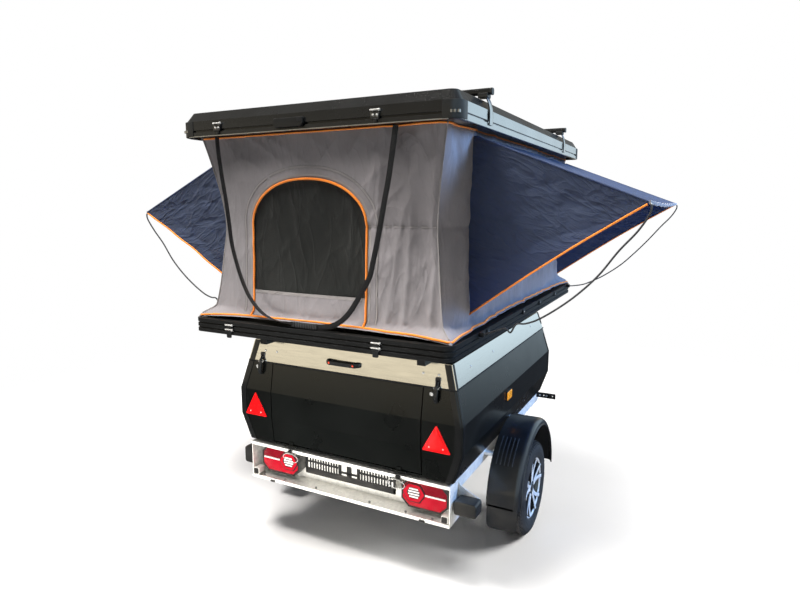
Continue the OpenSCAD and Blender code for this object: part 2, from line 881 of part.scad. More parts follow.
// Webbing loop that pulls the roof shell down.
module pull_strap() {
  color("#101010") sweep(from_rear(strap_route), strap_w, strap_t, [0.37, -0.93, 0]);
}

// Roof shell: upright band, bevel and flat top, hollow below.
module roof_shell() {
  y0 = tray_y0 + 8;
  y1 = tray_y1 + 2;
  band_top = shell_z + shell_band_h;
  color("#141516") {
    difference() {
      translate([0, 0, shell_z]) linear_extrude(shell_band_h) round_plate(shell_w, y0, y1, 45);
      translate([0, 0, shell_z - 1]) linear_extrude(shell_band_h - 14)
        round_plate(shell_w - 44, y0 + 22, y1 - 22, 25);
      translate([0, 0, shell_z + 20]) linear_extrude(10)
        difference() {
          round_plate(shell_w + 2, y0 - 1, y1 + 1, 46);
          round_plate(shell_w, y0, y1, 45, 7);
        }
    }
    hull() {
      translate([0, 0, band_top - 1]) linear_extrude(1)
        round_plate(shell_w - 8, y0 + 4, y1 - 4, 41, $fn = 32);
      translate([0, 0, band_top + shell_bevel_h - 1]) linear_extrude(1)
        round_plate(shell_w - 60, y0 + 30, y1 - 30, 30, $fn = 32);
    }
  }
}

// Two round load bars on feet that grip the shell's side grooves.
module roof_bars() {
  foot_x = shell_w / 2;
  color("#121212")
    for (y = bar_y) {
      bar_x(bar_r, -foot_x - 6, foot_x + 6, y, bar_z);
      both_sides()
        along_y(y - 22, y + 22) polygon([
          [foot_x + 1, shell_z + 8], [foot_x + 10, shell_z + 8], [foot_x + 10, bar_z - bar_r - 4],
          [foot_x - 60, bar_z - bar_r + 1], [foot_x - 60, bar_z - bar_r - 8],
          [foot_x + 1, bar_z - bar_r - 14]
        ]);
    }
}

// ---- Nodes ---------------------------------------------------------------

chassis_frame();
drawbar();
coupling_head();
axle_beam();
suspension_arms();
body_floor();
side_wall_left();
side_wall_right();
front_wall();
rear_panel_left();
rear_panel_right();
tailgate();
bumper_carrier();
rear_lamps();
plate_holder();
triangle_reflectors();
side_reflectors();
mudguard_left();
mudguard_right();
corner_buffers();
side_brackets();
tyre_left();
rim_left();
tyre_right();
rim_right();
jockey_clamp();
jockey_stem();
jockey_fork();
jockey_wheel();
lid_shell();
lid_handle();
lid_latches();
tent_carrier();
tent_tray();
tray_latches();
tent_wall_rear();
tent_wall_front();
tent_wall_left();
tent_wall_right();
tent_door();
awning_left();
awning_right();
awning_rods_left();
awning_rods_right();
pull_strap();
roof_shell();
roof_bars();
shell_latches();
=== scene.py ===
"""Looks of a camping box trailer with an opened roof tent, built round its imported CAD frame."""

import json
import logging
import math
from collections.abc import Callable, Sequence
from dataclasses import dataclass, field
from enum import Enum

import bmesh
import bpy
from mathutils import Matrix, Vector, noise


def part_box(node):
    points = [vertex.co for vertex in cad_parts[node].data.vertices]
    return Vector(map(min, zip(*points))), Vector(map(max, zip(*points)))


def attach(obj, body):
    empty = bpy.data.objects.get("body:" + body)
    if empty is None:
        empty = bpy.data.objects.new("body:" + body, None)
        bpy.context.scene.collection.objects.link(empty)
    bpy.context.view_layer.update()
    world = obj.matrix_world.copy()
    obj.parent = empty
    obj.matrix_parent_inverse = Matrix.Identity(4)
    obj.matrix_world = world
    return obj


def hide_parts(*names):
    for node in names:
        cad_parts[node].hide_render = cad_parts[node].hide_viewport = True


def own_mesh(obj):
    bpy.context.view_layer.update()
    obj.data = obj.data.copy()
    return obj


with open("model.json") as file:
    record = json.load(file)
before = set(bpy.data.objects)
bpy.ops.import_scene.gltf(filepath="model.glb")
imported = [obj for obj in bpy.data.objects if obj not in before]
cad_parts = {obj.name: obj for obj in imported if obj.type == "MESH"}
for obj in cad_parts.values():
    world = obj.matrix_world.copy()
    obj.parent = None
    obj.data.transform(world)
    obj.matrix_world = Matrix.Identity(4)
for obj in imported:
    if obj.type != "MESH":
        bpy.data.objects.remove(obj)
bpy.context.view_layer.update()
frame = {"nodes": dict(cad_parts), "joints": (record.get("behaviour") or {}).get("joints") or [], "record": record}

LOG = logging.getLogger("trailer")
REAR_Y = -1.292  # Y of the box's rear edge, which awnings and tray fittings are measured from
REARWARD = Vector((0, -1, 0))  # facing of bolts and stitches on the trailer's rear

Pair = tuple[float, float]
Triple = tuple[float, float, float]
Path = list[Vector]
Shell = bmesh.types.BMesh
Item = bpy.types.Object
Vert = bmesh.types.BMVert
Socket = bpy.types.NodeSocket


# ---- Places read from the CAD frame ---------------------------------------------------------


class Side(Enum):
    """The two sides of the trailer; the value is the sign of X."""

    LEFT = -1
    RIGHT = 1

    @property
    def word(self) -> str:
        """The side's name as it stands in node names."""
        return self.name.lower()

    def span(self, near: float, far: float) -> list[float]:
        """X of two distances from the middle on this side, the lower first."""
        return sorted((self.value * near, self.value * far))


class Axis(Enum):
    """A main axis; the value is its index in a vector."""

    X = 0
    Y = 1
    Z = 2


@dataclass(frozen=True)
class Extent:
    """Lowest and highest corner of one CAD node."""

    lo: Vector
    hi: Vector

    @classmethod
    def of(cls, node: str) -> "Extent":
        """Reads a node's extent from the frame.

        Args:
            node: Name of the CAD node.

        Returns:
            The node's extent at rest.
        """
        lo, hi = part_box(node)
        return cls(Vector(lo), Vector(hi))

    @property
    def mid(self) -> Vector:
        """The middle of the extent."""
        return (self.lo + self.hi) / 2

    @property
    def size(self) -> Vector:
        """The three lengths of the extent."""
        return self.hi - self.lo


def fold_line(node: str, axis: Axis, sign: int) -> list[Pair]:
    """Reads how far a folded wall stands out at each of its fold heights.

    Args:
        node: Name of the CAD node.
        axis: Axis along which the wall faces.
        sign: +1 for the high side of that axis, -1 for the low side.

    Returns:
        Pairs of height and outermost coordinate, from the bottom up.
    """
    outer: dict[float, float] = {}
    for vertex in frame["nodes"][node].data.vertices:
        height = round(vertex.co.z, 3)
        reach = sign * vertex.co[axis.value]
        outer[height] = max(outer.get(height, -1e9), reach)
    return [(z, sign * outer[z]) for z in sorted(outer)]


def at_height(line: Sequence[Pair], z: float) -> float:
    """Finds the coordinate of a fold line at any height.

    Args:
        line: Pairs of height and coordinate, from the bottom up.
        z: The height.

    Returns:
        The coordinate, held at its end values outside the line.
    """
    if z <= line[0][0]:
        return line[0][1]
    for (z0, a), (z1, b) in zip(line, line[1:]):
        if z <= z1:
            return a + (b - a) * (z - z0) / max(z1 - z0, 1e-9)
    return line[-1][1]


# ---- Small geometry helpers -----------------------------------------------------------------


def smooth_path(points: Sequence[Sequence[float]], per: int) -> Path:
    """Runs a smooth curve through points.

    Args:
        points: The points that the curve passes.
        per: Steps from one point to the next.

    Returns:
        The curve's points, with the first and last of the given ones at its ends.
    """
    p = [Vector(q) for q in points]
    out: Path = []
    for i in range(len(p) - 1):
        before, after = p[max(i - 1, 0)], p[min(i + 2, len(p) - 1)]
        for k in range(per):
            t = k / per
            square = (2 * before - 5 * p[i] + 4 * p[i + 1] - after) * t * t
            cube = (3 * p[i] - before - 3 * p[i + 1] + after) * t**3
            out.append(0.5 * (2 * p[i] + (p[i + 1] - before) * t + square + cube))
    out.append(p[-1])
    return out


def rounded(outline: Sequence[Pair], radius: float, steps: int = 4) -> list[Pair]:
    """Rounds the corners of a closed outline.

    Args:
        outline: Corner points.
        radius: Radius of the rounding, less where an edge is short.
        steps: Chords in each corner.

    Returns:
        The points of the rounded outline.
    """
    out: list[Pair] = []
    n = len(outline)
    for i in range(n):
        corner = Vector(outline[i])
        back, ahead = Vector(outline[i - 1]) - corner, Vector(outline[(i + 1) % n]) - corner
        half = back.angle(ahead) / 2
        cut = min(radius / math.tan(half), 0.48 * back.length, 0.48 * ahead.length)
        a, b = corner + back.normalized() * cut, corner + ahead.normalized() * cut
        for k in range(steps + 1):
            t = k / steps
            q = a * (1 - t) ** 2 + corner * 2 * t * (1 - t) + b * t * t
            out.append((q.x, q.y))
    return out


def ellipse(width: float, height: float, sides: int) -> list[Pair]:
    """Section of a round or oval bar.

    Args:
        width: Size along the section's first direction.
        height: Size along its second direction.
        sides: Number of corners.

    Returns:
        The section's points.
    """
    turn = math.tau / sides
    return [(width / 2 * math.cos(k * turn), height / 2 * math.sin(k * turn)) for k in range(sides)]


def rectangle(width: float, height: float, x: float = 0.0, y: float = 0.0) -> list[Pair]:
    """A rectangle round a middle point, anticlockwise."""
    a, b = width / 2, height / 2
    return [(x - a, y - b), (x + a, y - b), (x + a, y + b), (x - a, y + b)]


def smoothstep(low: float, high: float, value: float) -> float:
    """Rises softly from 0 at low to 1 at high."""
    t = min(max((value - low) / (high - low), 0.0), 1.0)
    return t * t * (3 - 2 * t)


def ripple(*where: float) -> float:
    """Soft noise between -1 and 1 at a point given by up to three numbers."""
    return noise.noise(Vector((*where, 0.0, 0.0, 0.0)[:3]))


def crease(*where: float) -> float:
    """Sharp-ridged noise between 0 and 1, like a crease in cloth."""
    return (1 - min(abs(ripple(*where)) * 2.2, 1.0)) ** 3


def mesh_of(name: str, part: Shell) -> bpy.types.Mesh:
    """Turns a shell into a mesh and frees it."""
    data = bpy.data.meshes.new(name)
    part.to_mesh(data)
    part.free()
    return data


def link(name: str, data: bpy.types.ID) -> Item:
    """Makes an object for a mesh, lamp or camera and links it into the scene."""
    made = bpy.data.objects.new(name, data)
    bpy.context.scene.collection.objects.link(made)
    return made


def freeze(holder: Item, name: str) -> bpy.types.Mesh:
    """Turns an object with its modifiers into a plain mesh and removes the object.

    Args:
        holder: The object.
        name: Name of the mesh.

    Returns:
        The mesh.
    """
    graph = bpy.context.evaluated_depsgraph_get()
    graph.update()
    data = bpy.data.meshes.new_from_object(holder.evaluated_get(graph))
    data.name = name
    holder.modifiers.clear()
    bpy.data.objects.remove(holder)
    return data


def skin(part: Shell, rows: Sequence[Sequence[Vert]], looped: bool = False) -> None:
    """Joins rings of as many points into a closed shell.

    Args:
        part: The mesh that holds the points.
        rows: The rings.
        looped: True to join the last ring to the first, instead of closing both.
    """
    n = len(rows[0])
    for a, b in zip(rows, [*rows[1:], rows[0]] if looped else rows[1:]):
        for k in range(n):
            part.faces.new((a[k], a[(k + 1) % n], b[(k + 1) % n], b[k]))
    if not looped:
        part.faces.new(rows[0])
        part.faces.new(rows[-1])


def tile(part: Shell, grid: Sequence[Sequence[Vert]], flat: dict[Vert, Pair]) -> None:
    """Fills a grid of points with faces, each with its place in the flat cloth.

    Args:
        part: The mesh that holds the points, with its UV layer.
        grid: Rows of as many points.
        flat: Each point's place in the flat cloth.
    """
    layer = part.loops.layers.uv["UVMap"]
    for low, high in zip(grid, grid[1:]):
        for k in range(len(low) - 1):
            for loop in part.faces.new((low[k], low[k + 1], high[k + 1], high[k])).loops:
                loop[layer].uv = flat[loop.vert]


# ---- Node trees -----------------------------------------------------------------------------


class Bench:
    """Adds and wires nodes in one tree."""

    def __init__(self, tree: bpy.types.NodeTree) -> None:
        """Takes the tree that the nodes go into."""
        self.tree = tree

    def add(self, kind: str, values: dict | None = None, **settings: object) -> bpy.types.Node:
        """Adds one node.

        Args:
            kind: Type name of the node.
            values: Input names or numbers, with a constant or an output socket to wire in.
            **settings: Properties of the node.

        Returns:
            The new node.
        """
        node = self.tree.nodes.new(kind)
        for key, value in settings.items():
            setattr(node, key, value)
        for key, value in (values or {}).items():
            if isinstance(value, Socket):
                self.tree.links.new(value, node.inputs[key])
            else:
                node.inputs[key].default_value = value
        return node

    def math(self, operation: str, a: object, b: object = 0.0, clamp: bool = False) -> Socket:
        """Adds a Math node on two values and returns its output."""
        return self.add("ShaderNodeMath", {0: a, 1: b}, operation=operation, use_clamp=clamp).outputs[0]

    def mix(self, amount: object, a: object, b: object) -> Socket:
        """Mixes two colours by an amount and returns the colour."""
        node = self.add("ShaderNodeMix", {0: amount, 6: a, 7: b}, data_type="RGBA", clamp_factor=True)
        return node.outputs[2]

    def span(self, value: object, low: float, high: float, to_low: float, to_high: float) -> Socket:
        """Maps a value from one range to another and returns it."""
        ends = {"Value": value, "From Min": low, "From Max": high, "To Min": to_low, "To Max": to_high}
        return self.add("ShaderNodeMapRange", ends).outputs[0]

    def noise(self, where: object, scale: float, detail: float = 3.0) -> Socket:
        """Adds a noise texture and returns its value."""
        return self.add("ShaderNodeTexNoise",
                        {"Vector": where, "Scale": scale, "Detail": detail}).outputs["Fac"]


def cleared(owner: bpy.types.Material | bpy.types.World) -> Bench:
    """Gives a material or world an empty node tree, ready to fill."""
    owner.use_nodes = True
    owner.node_tree.nodes.clear()
    return Bench(owner.node_tree)


class Effects:
    """Shader node groups that several finishes share, each built once."""

    _built: dict[str, bpy.types.NodeTree] = {}

    @classmethod
    def group(
        cls,
        name: str,
        inputs: dict[str, tuple[str, object]],
        outputs: dict[str, str],
        fill: Callable[[Bench, bpy.types.Node, bpy.types.Node], None],
    ) -> bpy.types.NodeTree:
        """Makes a group, or gives the one that is there.

        Args:
            name: Name of the group.
            inputs: Socket names with their type and first value.
            outputs: Socket names with their type.
            fill: Adds the nodes between the group's input and output.

        Returns:
            The node group.
        """
        if name not in cls._built:
            tree = bpy.data.node_groups.new(name, "ShaderNodeTree")
            for label, (kind, value) in inputs.items():
                socket = tree.interface.new_socket(label, in_out="INPUT", socket_type=kind)
                if value is not None:
                    socket.default_value = value
            for label, kind in outputs.items():
                tree.interface.new_socket(label, in_out="OUTPUT", socket_type=kind)
            bench = Bench(tree)
            fill(bench, tree.nodes.new("NodeGroupInput"), tree.nodes.new("NodeGroupOutput"))
            cls._built[name] = tree
        return cls._built[name]

    @classmethod
    def grain(cls) -> bpy.types.NodeTree:
        """Fine surface grain, with slow mottling and rubbed streaks."""

        def fill(b: Bench, start: bpy.types.Node, end: bpy.types.Node) -> None:
            fine = b.add("ShaderNodeTexNoise",
                         {"Vector": start.outputs[0], "Scale": start.outputs[1], "Detail": 4.0})
            slow = b.add("ShaderNodeTexNoise",
                         {"Vector": start.outputs[0], "Scale": start.outputs[2], "Detail": 5.0})
            b.tree.links.new(fine.outputs["Fac"], end.inputs[0])
            b.tree.links.new(b.span(slow.outputs["Fac"], 0.3, 0.7, 0.0, 1.0), end.inputs[1])

        scale = {"Fine": ("NodeSocketFloat", 900.0), "Slow": ("NodeSocketFloat", 6.0)}
        given = {"Vector": ("NodeSocketVector", None), **scale}
        return cls.group("surface_grain", given,
                         {"Height": "NodeSocketFloat", "Mottle": "NodeSocketFloat"}, fill)

    @classmethod
    def wear(cls) -> bpy.types.NodeTree:
        """Rubbed edges, found where a rounded normal leaves the true one."""

        def fill(b: Bench, start: bpy.types.Node, end: bpy.types.Node) -> None:
            soft = b.add("ShaderNodeBevel", {"Radius": start.outputs["Radius"]}, samples=4)
            true = b.add("ShaderNodeNewGeometry")
            pair = {0: soft.outputs[0], 1: true.outputs["Normal"]}
            along = b.add("ShaderNodeVectorMath", pair, operation="DOT_PRODUCT")
            edge = b.span(along.outputs["Value"], 0.995, 0.9, 0.0, 1.0)
            patchy = b.span(b.noise(start.outputs["Vector"], 38.0, 6.0), 0.42, 0.62, 0.0, 1.0)
            worn = b.math("MULTIPLY", b.math("MULTIPLY", edge, patchy), start.outputs["Amount"], clamp=True)
            b.tree.links.new(worn, end.inputs[0])

        sizes = {"Radius": ("NodeSocketFloat", 0.002), "Amount": ("NodeSocketFloat", 0.5)}
        given = {"Vector": ("NodeSocketVector", None), **sizes}
        return cls.group("edge_wear", given, {"Mask": "NodeSocketFloat"}, fill)

    @classmethod
    def dust(cls) -> bpy.types.NodeTree:
        """Road dust: more of it low down and on faces that look up."""

        def fill(b: Bench, start: bpy.types.Node, end: bpy.types.Node) -> None:
            split = b.add("ShaderNodeSeparateXYZ", {0: start.outputs["Vector"]})
            low = b.span(split.outputs[2], 0.75, 0.05, 0.0, 1.0)
            face = b.add("ShaderNodeSeparateXYZ", {0: b.add("ShaderNodeNewGeometry").outputs["Normal"]})
            up = b.span(face.outputs[2], 0.2, 1.0, 0.0, 0.35)
            cloud = b.span(b.noise(start.outputs["Vector"], 9.0, 7.0), 0.35, 0.75, 0.0, 1.0)
            both = b.math("ADD", b.math("MULTIPLY", low, 0.8), up, clamp=True)
            dusty = b.math("MULTIPLY", b.math("MULTIPLY", both, cloud), start.outputs["Amount"], clamp=True)
            b.tree.links.new(dusty, end.inputs[0])

        given = {"Vector": ("NodeSocketVector", None), "Amount": ("NodeSocketFloat", 0.2)}
        return cls.group("road_dust", given, {"Mask": "NodeSocketFloat"}, fill)

    @classmethod
    def weave(cls) -> bpy.types.NodeTree:
        """Plain weave: warp and weft threads that pass over and under each other."""

        def fill(b: Bench, start: bpy.types.Node, end: bpy.types.Node) -> None:
            split = b.add("ShaderNodeSeparateXYZ", {0: start.outputs["Vector"]})
            warp = b.math("SINE", b.math("MULTIPLY", split.outputs[0], start.outputs["Threads"]))
            weft = b.math("SINE", b.math("MULTIPLY", split.outputs[1], start.outputs["Threads"]))
            over = b.math("GREATER_THAN", b.math("MULTIPLY", warp, weft), 0.0)
            upper = b.math("MULTIPLY", b.math("ABSOLUTE", warp), over)
            lower = b.math("MULTIPLY", b.math("ABSOLUTE", weft), b.math("SUBTRACT", 1.0, over))
            height = b.math("ADD", upper, lower)
            slub = b.noise(start.outputs["Vector"], 60.0, 4.0)
            b.tree.links.new(height, end.inputs[0])
            # Tone: thread height times random slub; the cloth paints shade where it is low, in the weave's
            # valleys.
            b.tree.links.new(b.math("MULTIPLY", height, b.span(slub, 0.3, 0.7, 0.75, 1.1)), end.inputs[1])

        given = {"Vector": ("NodeSocketVector", None), "Threads": ("NodeSocketFloat", 3000.0)}
        return cls.group("plain_weave", given, {"Height": "NodeSocketFloat", "Tone": "NodeSocketFloat"}, fill)


class Finish:
    """A surface finish. Each kind of finish dresses a material in its own way, once."""

    _materials: dict[str, bpy.types.Material] = {}
    name: str
    slot: str | None

    def material(self) -> bpy.types.Material:
        """Gives the finish's material, which is built on first use."""
        if self.name not in Finish._materials:
            made = bpy.data.materials.new(self.name)
            bench = cleared(made)
            shader = bench.add("ShaderNodeBsdfPrincipled")
            output = bench.add("ShaderNodeOutputMaterial", {"Surface": shader.outputs[0]})
            output.is_active_output = True
            self.dress(bench, shader)
            Finish._materials[self.name] = made
        return Finish._materials[self.name]

    def dress(self, b: Bench, shader: bpy.types.Node) -> None:
        """Wires the finish's own nodes into its shader."""
        raise NotImplementedError

    @staticmethod
    def rgba(colour: Triple, gain: float = 1.0) -> tuple[float, float, float, float]:
        """A colour as four numbers, made lighter or darker by a gain."""
        return (colour[0] * gain, colour[1] * gain, colour[2] * gain, 1.0)


@dataclass(frozen=True)
class SolidFinish(Finish):
    """Paint, plastic, rubber or metal, with grain, mottling, worn edges, dust and an optional painted reflection
    on X-facing faces.
    """

    name: str
    slot: str | None
    colour: Triple
    rough: float = 0.5
    rough_spread: float = 0.08
    metal: float = 0.0
    mottle: float = 0.12
    coat: float = 0.0
    coat_rough: float = 0.1
    specular: float = 0.5
    grain_scale: float = 900.0
    grain_depth: float = 0.0001
    mottle_scale: float = 6.0
    stretch: Triple = (1.0, 1.0, 1.0)
    wear: float = 0.0
    wear_colour: Triple = (0.5, 0.5, 0.5)
    dust: float = 0.0
    dust_colour: Triple = (0.25, 0.22, 0.18)
    # Colour of a painted reflection on faces that look along X; none if absent.
    bare_side: Triple | None = None

    def dress(self, b: Bench, shader: bpy.types.Node) -> None:
        """Wires grain, wear, dust and the painted side reflection into the shader."""
        where = b.add("ShaderNodeTexCoord").outputs["Object"]
        turned = b.add("ShaderNodeMapping", {"Vector": where, "Scale": self.stretch}).outputs[0]
        scales = {"Vector": turned, "Fine": self.grain_scale, "Slow": self.mottle_scale}
        grain = b.add("ShaderNodeGroup", scales, node_tree=Effects.grain())
        mottle = grain.outputs["Mottle"]
        colour = b.mix(mottle, self.rgba(self.colour, 1 - self.mottle),
                       self.rgba(self.colour, 1 + self.mottle))
        rough = b.span(mottle, 0.0, 1.0, self.rough - self.rough_spread, self.rough + self.rough_spread)
        if self.wear > 0:
            wear = b.add("ShaderNodeGroup", {"Vector": where, "Amount": self.wear}, node_tree=Effects.wear())
            colour = b.mix(wear.outputs[0], colour, self.rgba(self.wear_colour))
        if self.dust > 0:
            dust = b.add("ShaderNodeGroup", {"Vector": where, "Amount": self.dust}, node_tree=Effects.dust())
            colour = b.mix(dust.outputs[0], colour, self.rgba(self.dust_colour))
            rough = b.math("ADD", rough, b.math("MULTIPLY", dust.outputs[0], 0.35), clamp=True)
        relief = {"Strength": 1.0, "Distance": self.grain_depth, "Height": grain.outputs["Height"]}
        bump = b.add("ShaderNodeBump", relief)
        b.tree.links.new(colour, shader.inputs["Base Color"])
        b.tree.links.new(rough, shader.inputs["Roughness"])
        b.tree.links.new(bump.outputs[0], shader.inputs["Normal"])
        shader.inputs["Metallic"].default_value = self.metal
        # Painted reflection: faces that look along X become bright metal, for sky mirrored at a grazing angle.
        if self.bare_side:
            facing = b.add("ShaderNodeSeparateXYZ",
                           {0: b.add("ShaderNodeNewGeometry").outputs["True Normal"]})
            reflection_share = b.span(b.math("ABSOLUTE", facing.outputs[0]), 0.86, 0.96, 0.0, 1.0)
            b.tree.links.new(b.mix(reflection_share, colour, self.rgba(self.bare_side)), shader.inputs["Base Color"])
            b.tree.links.new(reflection_share, shader.inputs["Metallic"])
        shader.inputs["Coat Weight"].default_value = self.coat
        shader.inputs["Coat Roughness"].default_value = self.coat_rough
        shader.inputs["Specular IOR Level"].default_value = self.specular


@dataclass(frozen=True)
class SpangleFinish(Finish):
    """Hot-dip galvanised steel with its frosty crystal pattern."""

    name: str
    slot: str | None
    colour: Triple
    crystal: float = 75.0
    rough: float = 0.38
    stain: float = 0.25

    def dress(self, b: Bench, shader: bpy.types.Node) -> None:
        """Wires crystals, stains and dust into the shader."""
        where = b.add("ShaderNodeTexCoord").outputs["Object"]
        drift = b.add("ShaderNodeTexNoise", {"Vector": where, "Scale": 30.0}).outputs["Color"]
        small = b.add("ShaderNodeVectorMath", {0: drift, 1: (0.02, 0.02, 0.02)},
                      operation="MULTIPLY").outputs[0]
        bent = b.add("ShaderNodeVectorMath", {0: where, 1: small}, operation="ADD").outputs[0]
        cells = b.add("ShaderNodeTexVoronoi", {"Vector": bent, "Scale": self.crystal})
        tone = b.add("ShaderNodeSeparateColor", {0: cells.outputs["Color"]}).outputs[0]
        colour = b.mix(tone, self.rgba(self.colour, 0.88), self.rgba(self.colour, 1.06))
        clouds = b.span(b.noise(where, 5.0, 6.0), 0.4, 0.7, 0.0, self.stain)
        colour = b.mix(clouds, colour, self.rgba(self.colour, 0.55))
        dust = b.add("ShaderNodeGroup", {"Vector": where, "Amount": 0.12}, node_tree=Effects.dust())
        colour = b.mix(dust.outputs[0], colour, (0.3, 0.27, 0.22, 1.0))
        rough = b.span(tone, 0.0, 1.0, self.rough - 0.1, self.rough + 0.12)
        bump = b.add("ShaderNodeBump",
                     {"Strength": 0.4, "Distance": 0.0002, "Height": b.noise(where, 90.0, 3.0)})
        b.tree.links.new(colour, shader.inputs["Base Color"])
        b.tree.links.new(rough, shader.inputs["Roughness"])
        b.tree.links.new(bump.outputs[0], shader.inputs["Normal"])
        shader.inputs["Metallic"].default_value = 0.28


@dataclass(frozen=True)
class ClothFinish(Finish):
    """Woven cloth on its own UV map, whose unit is the metre."""

    name: str
    slot: str | None
    colour: Triple
    thread: float = 0.0011
    depth: float = 0.00025
    crumple: float = 0.003
    crumple_scale: float = 14.0
    rough: float = 0.82
    sheen: float = 0.15
    fade: float = 0.14
    through: Triple | None = None
    through_share: float = 0.26

    def dress(self, b: Bench, shader: bpy.types.Node) -> None:
        """Wires weave, fading, painted shade between the threads and small crumples into the shader."""
        uv = b.add("ShaderNodeUVMap").outputs[0]
        weave = b.add("ShaderNodeGroup", {"Vector": uv, "Threads": math.pi / self.thread},
                      node_tree=Effects.weave())
        slow = b.span(b.noise(uv, 3.5, 6.0), 0.3, 0.7, 0.0, 1.0)
        colour = b.mix(slow, self.rgba(self.colour, 1 - self.fade), self.rgba(self.colour, 1 + self.fade))
        # Painted shade between the threads: the colour darkens where the weave sinks.
        shade_between_threads = b.math("MULTIPLY", b.math("SUBTRACT", 1.0, weave.outputs["Tone"]), 0.35, clamp=True)
        colour = b.mix(shade_between_threads, colour, self.rgba(self.colour, 0.55))
        lines: object = 0.0
        for turn, scale, gain in ((0.7, 1.0, 1.0), (-0.9, 1.7, 0.6), (0.2, 3.1, 0.35)):
            drawn = {"Vector": uv, "Rotation": (0, 0, turn), "Scale": (1.0, 0.4, 1.0)}
            way = b.add("ShaderNodeMapping", drawn).outputs[0]
            kinks = {"Vector": way, "Scale": self.crumple_scale * scale, "Detail": 2.5, "Distortion": 0.6}
            folds = b.add("ShaderNodeTexNoise", kinks)
            off = b.math("ABSOLUTE", b.math("SUBTRACT", folds.outputs["Fac"], 0.5))
            ridge = b.math("POWER", b.span(off, 0.0, 0.16, 1.0, 0.0), 3.0)
            lines = b.math("ADD", lines, b.math("MULTIPLY", ridge, gain))
        soft = b.add("ShaderNodeBump", {"Strength": 0.8, "Distance": self.crumple, "Height": lines})
        relief = {"Strength": 0.7, "Distance": self.depth, "Height": weave.outputs["Height"],
                  "Normal": soft.outputs[0]}
        fine = b.add("ShaderNodeBump", relief)
        b.tree.links.new(colour, shader.inputs["Base Color"])
        b.tree.links.new(b.span(slow, 0.0, 1.0, self.rough - 0.07, self.rough + 0.07),
                         shader.inputs["Roughness"])
        b.tree.links.new(fine.outputs[0], shader.inputs["Normal"])
        if self.through:
            glow = b.add("ShaderNodeBsdfTranslucent", {0: self.rgba(self.through), "Normal": fine.outputs[0]})
            both = b.add("ShaderNodeMixShader",
                         {0: self.through_share, 1: shader.outputs[0], 2: glow.outputs[0]})
            output = next(node for node in b.tree.nodes if node.bl_idname == "ShaderNodeOutputMaterial")
            b.tree.links.new(both.outputs[0], output.inputs["Surface"])
        shader.inputs["Sheen Weight"].default_value = self.sheen
        shader.inputs["Sheen Roughness"].default_value = 0.45
        shader.inputs["Specular IOR Level"].default_value = 0.3


@dataclass(frozen=True)
class PrismFinish(Finish):
    """Lens or reflector plastic, moulded with small prisms behind a smooth face."""

    name: str
    slot: str | None
    colour: Triple
    prism: float = 260.0
    depth: float = 0.0006
    # Strength of a painted glow: emission standing in for light caught by the prisms.
    glow: float = 0.0
    rough: float = 0.16

    def dress(self, b: Bench, shader: bpy.types.Node) -> None:
        """Wires the prisms into the shader, under a clear coat, with painted glints on the prisms and, where
        asked, a painted glow.
        """
        where = b.add("ShaderNodeTexCoord").outputs["Object"]
        cells = b.add("ShaderNodeTexVoronoi", {"Vector": where, "Scale": self.prism, "Randomness": 0.15})
        # Painted glints: each prism's middle is lighter and its rim darker, as if light catches the facets.
        tone = b.span(cells.outputs["Distance"], 0.0, 0.7, 1.25, 0.6)
        slow = b.span(b.noise(where, 18.0, 3.0), 0.3, 0.7, 0.9, 1.1)
        gain = b.math("MULTIPLY", tone, slow)
        share = b.math("SUBTRACT", gain, 0.4, clamp=True)
        colour = b.mix(share, self.rgba(self.colour, 0.5), self.rgba(self.colour, 1.3))
        bump = b.add("ShaderNodeBump",
                     {"Strength": 0.5, "Distance": self.depth, "Height": cells.outputs["Distance"]})
        b.tree.links.new(colour, shader.inputs["Base Color"])
        b.tree.links.new(b.span(slow, 0.9, 1.1, self.rough - 0.04, self.rough + 0.06),
                         shader.inputs["Roughness"])
        b.tree.links.new(bump.outputs[0], shader.inputs["Normal"])
        # Painted glow: the lens or reflector gives off light of its own colour, though no lamp is lit in it.
        if self.glow > 0:
            b.tree.links.new(colour, shader.inputs["Emission Color"])
            shader.inputs["Emission Strength"].default_value = self.glow
        shader.inputs["Coat Weight"].default_value = 0.8
        shader.inputs["Coat Roughness"].default_value = 0.04


def slot_colour(slot: str) -> Triple:
    """Reads a material slot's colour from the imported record."""
    found = next(m for m in frame["record"]["materials"] if m["slot"] == slot)
    return tuple(found["base_color"])


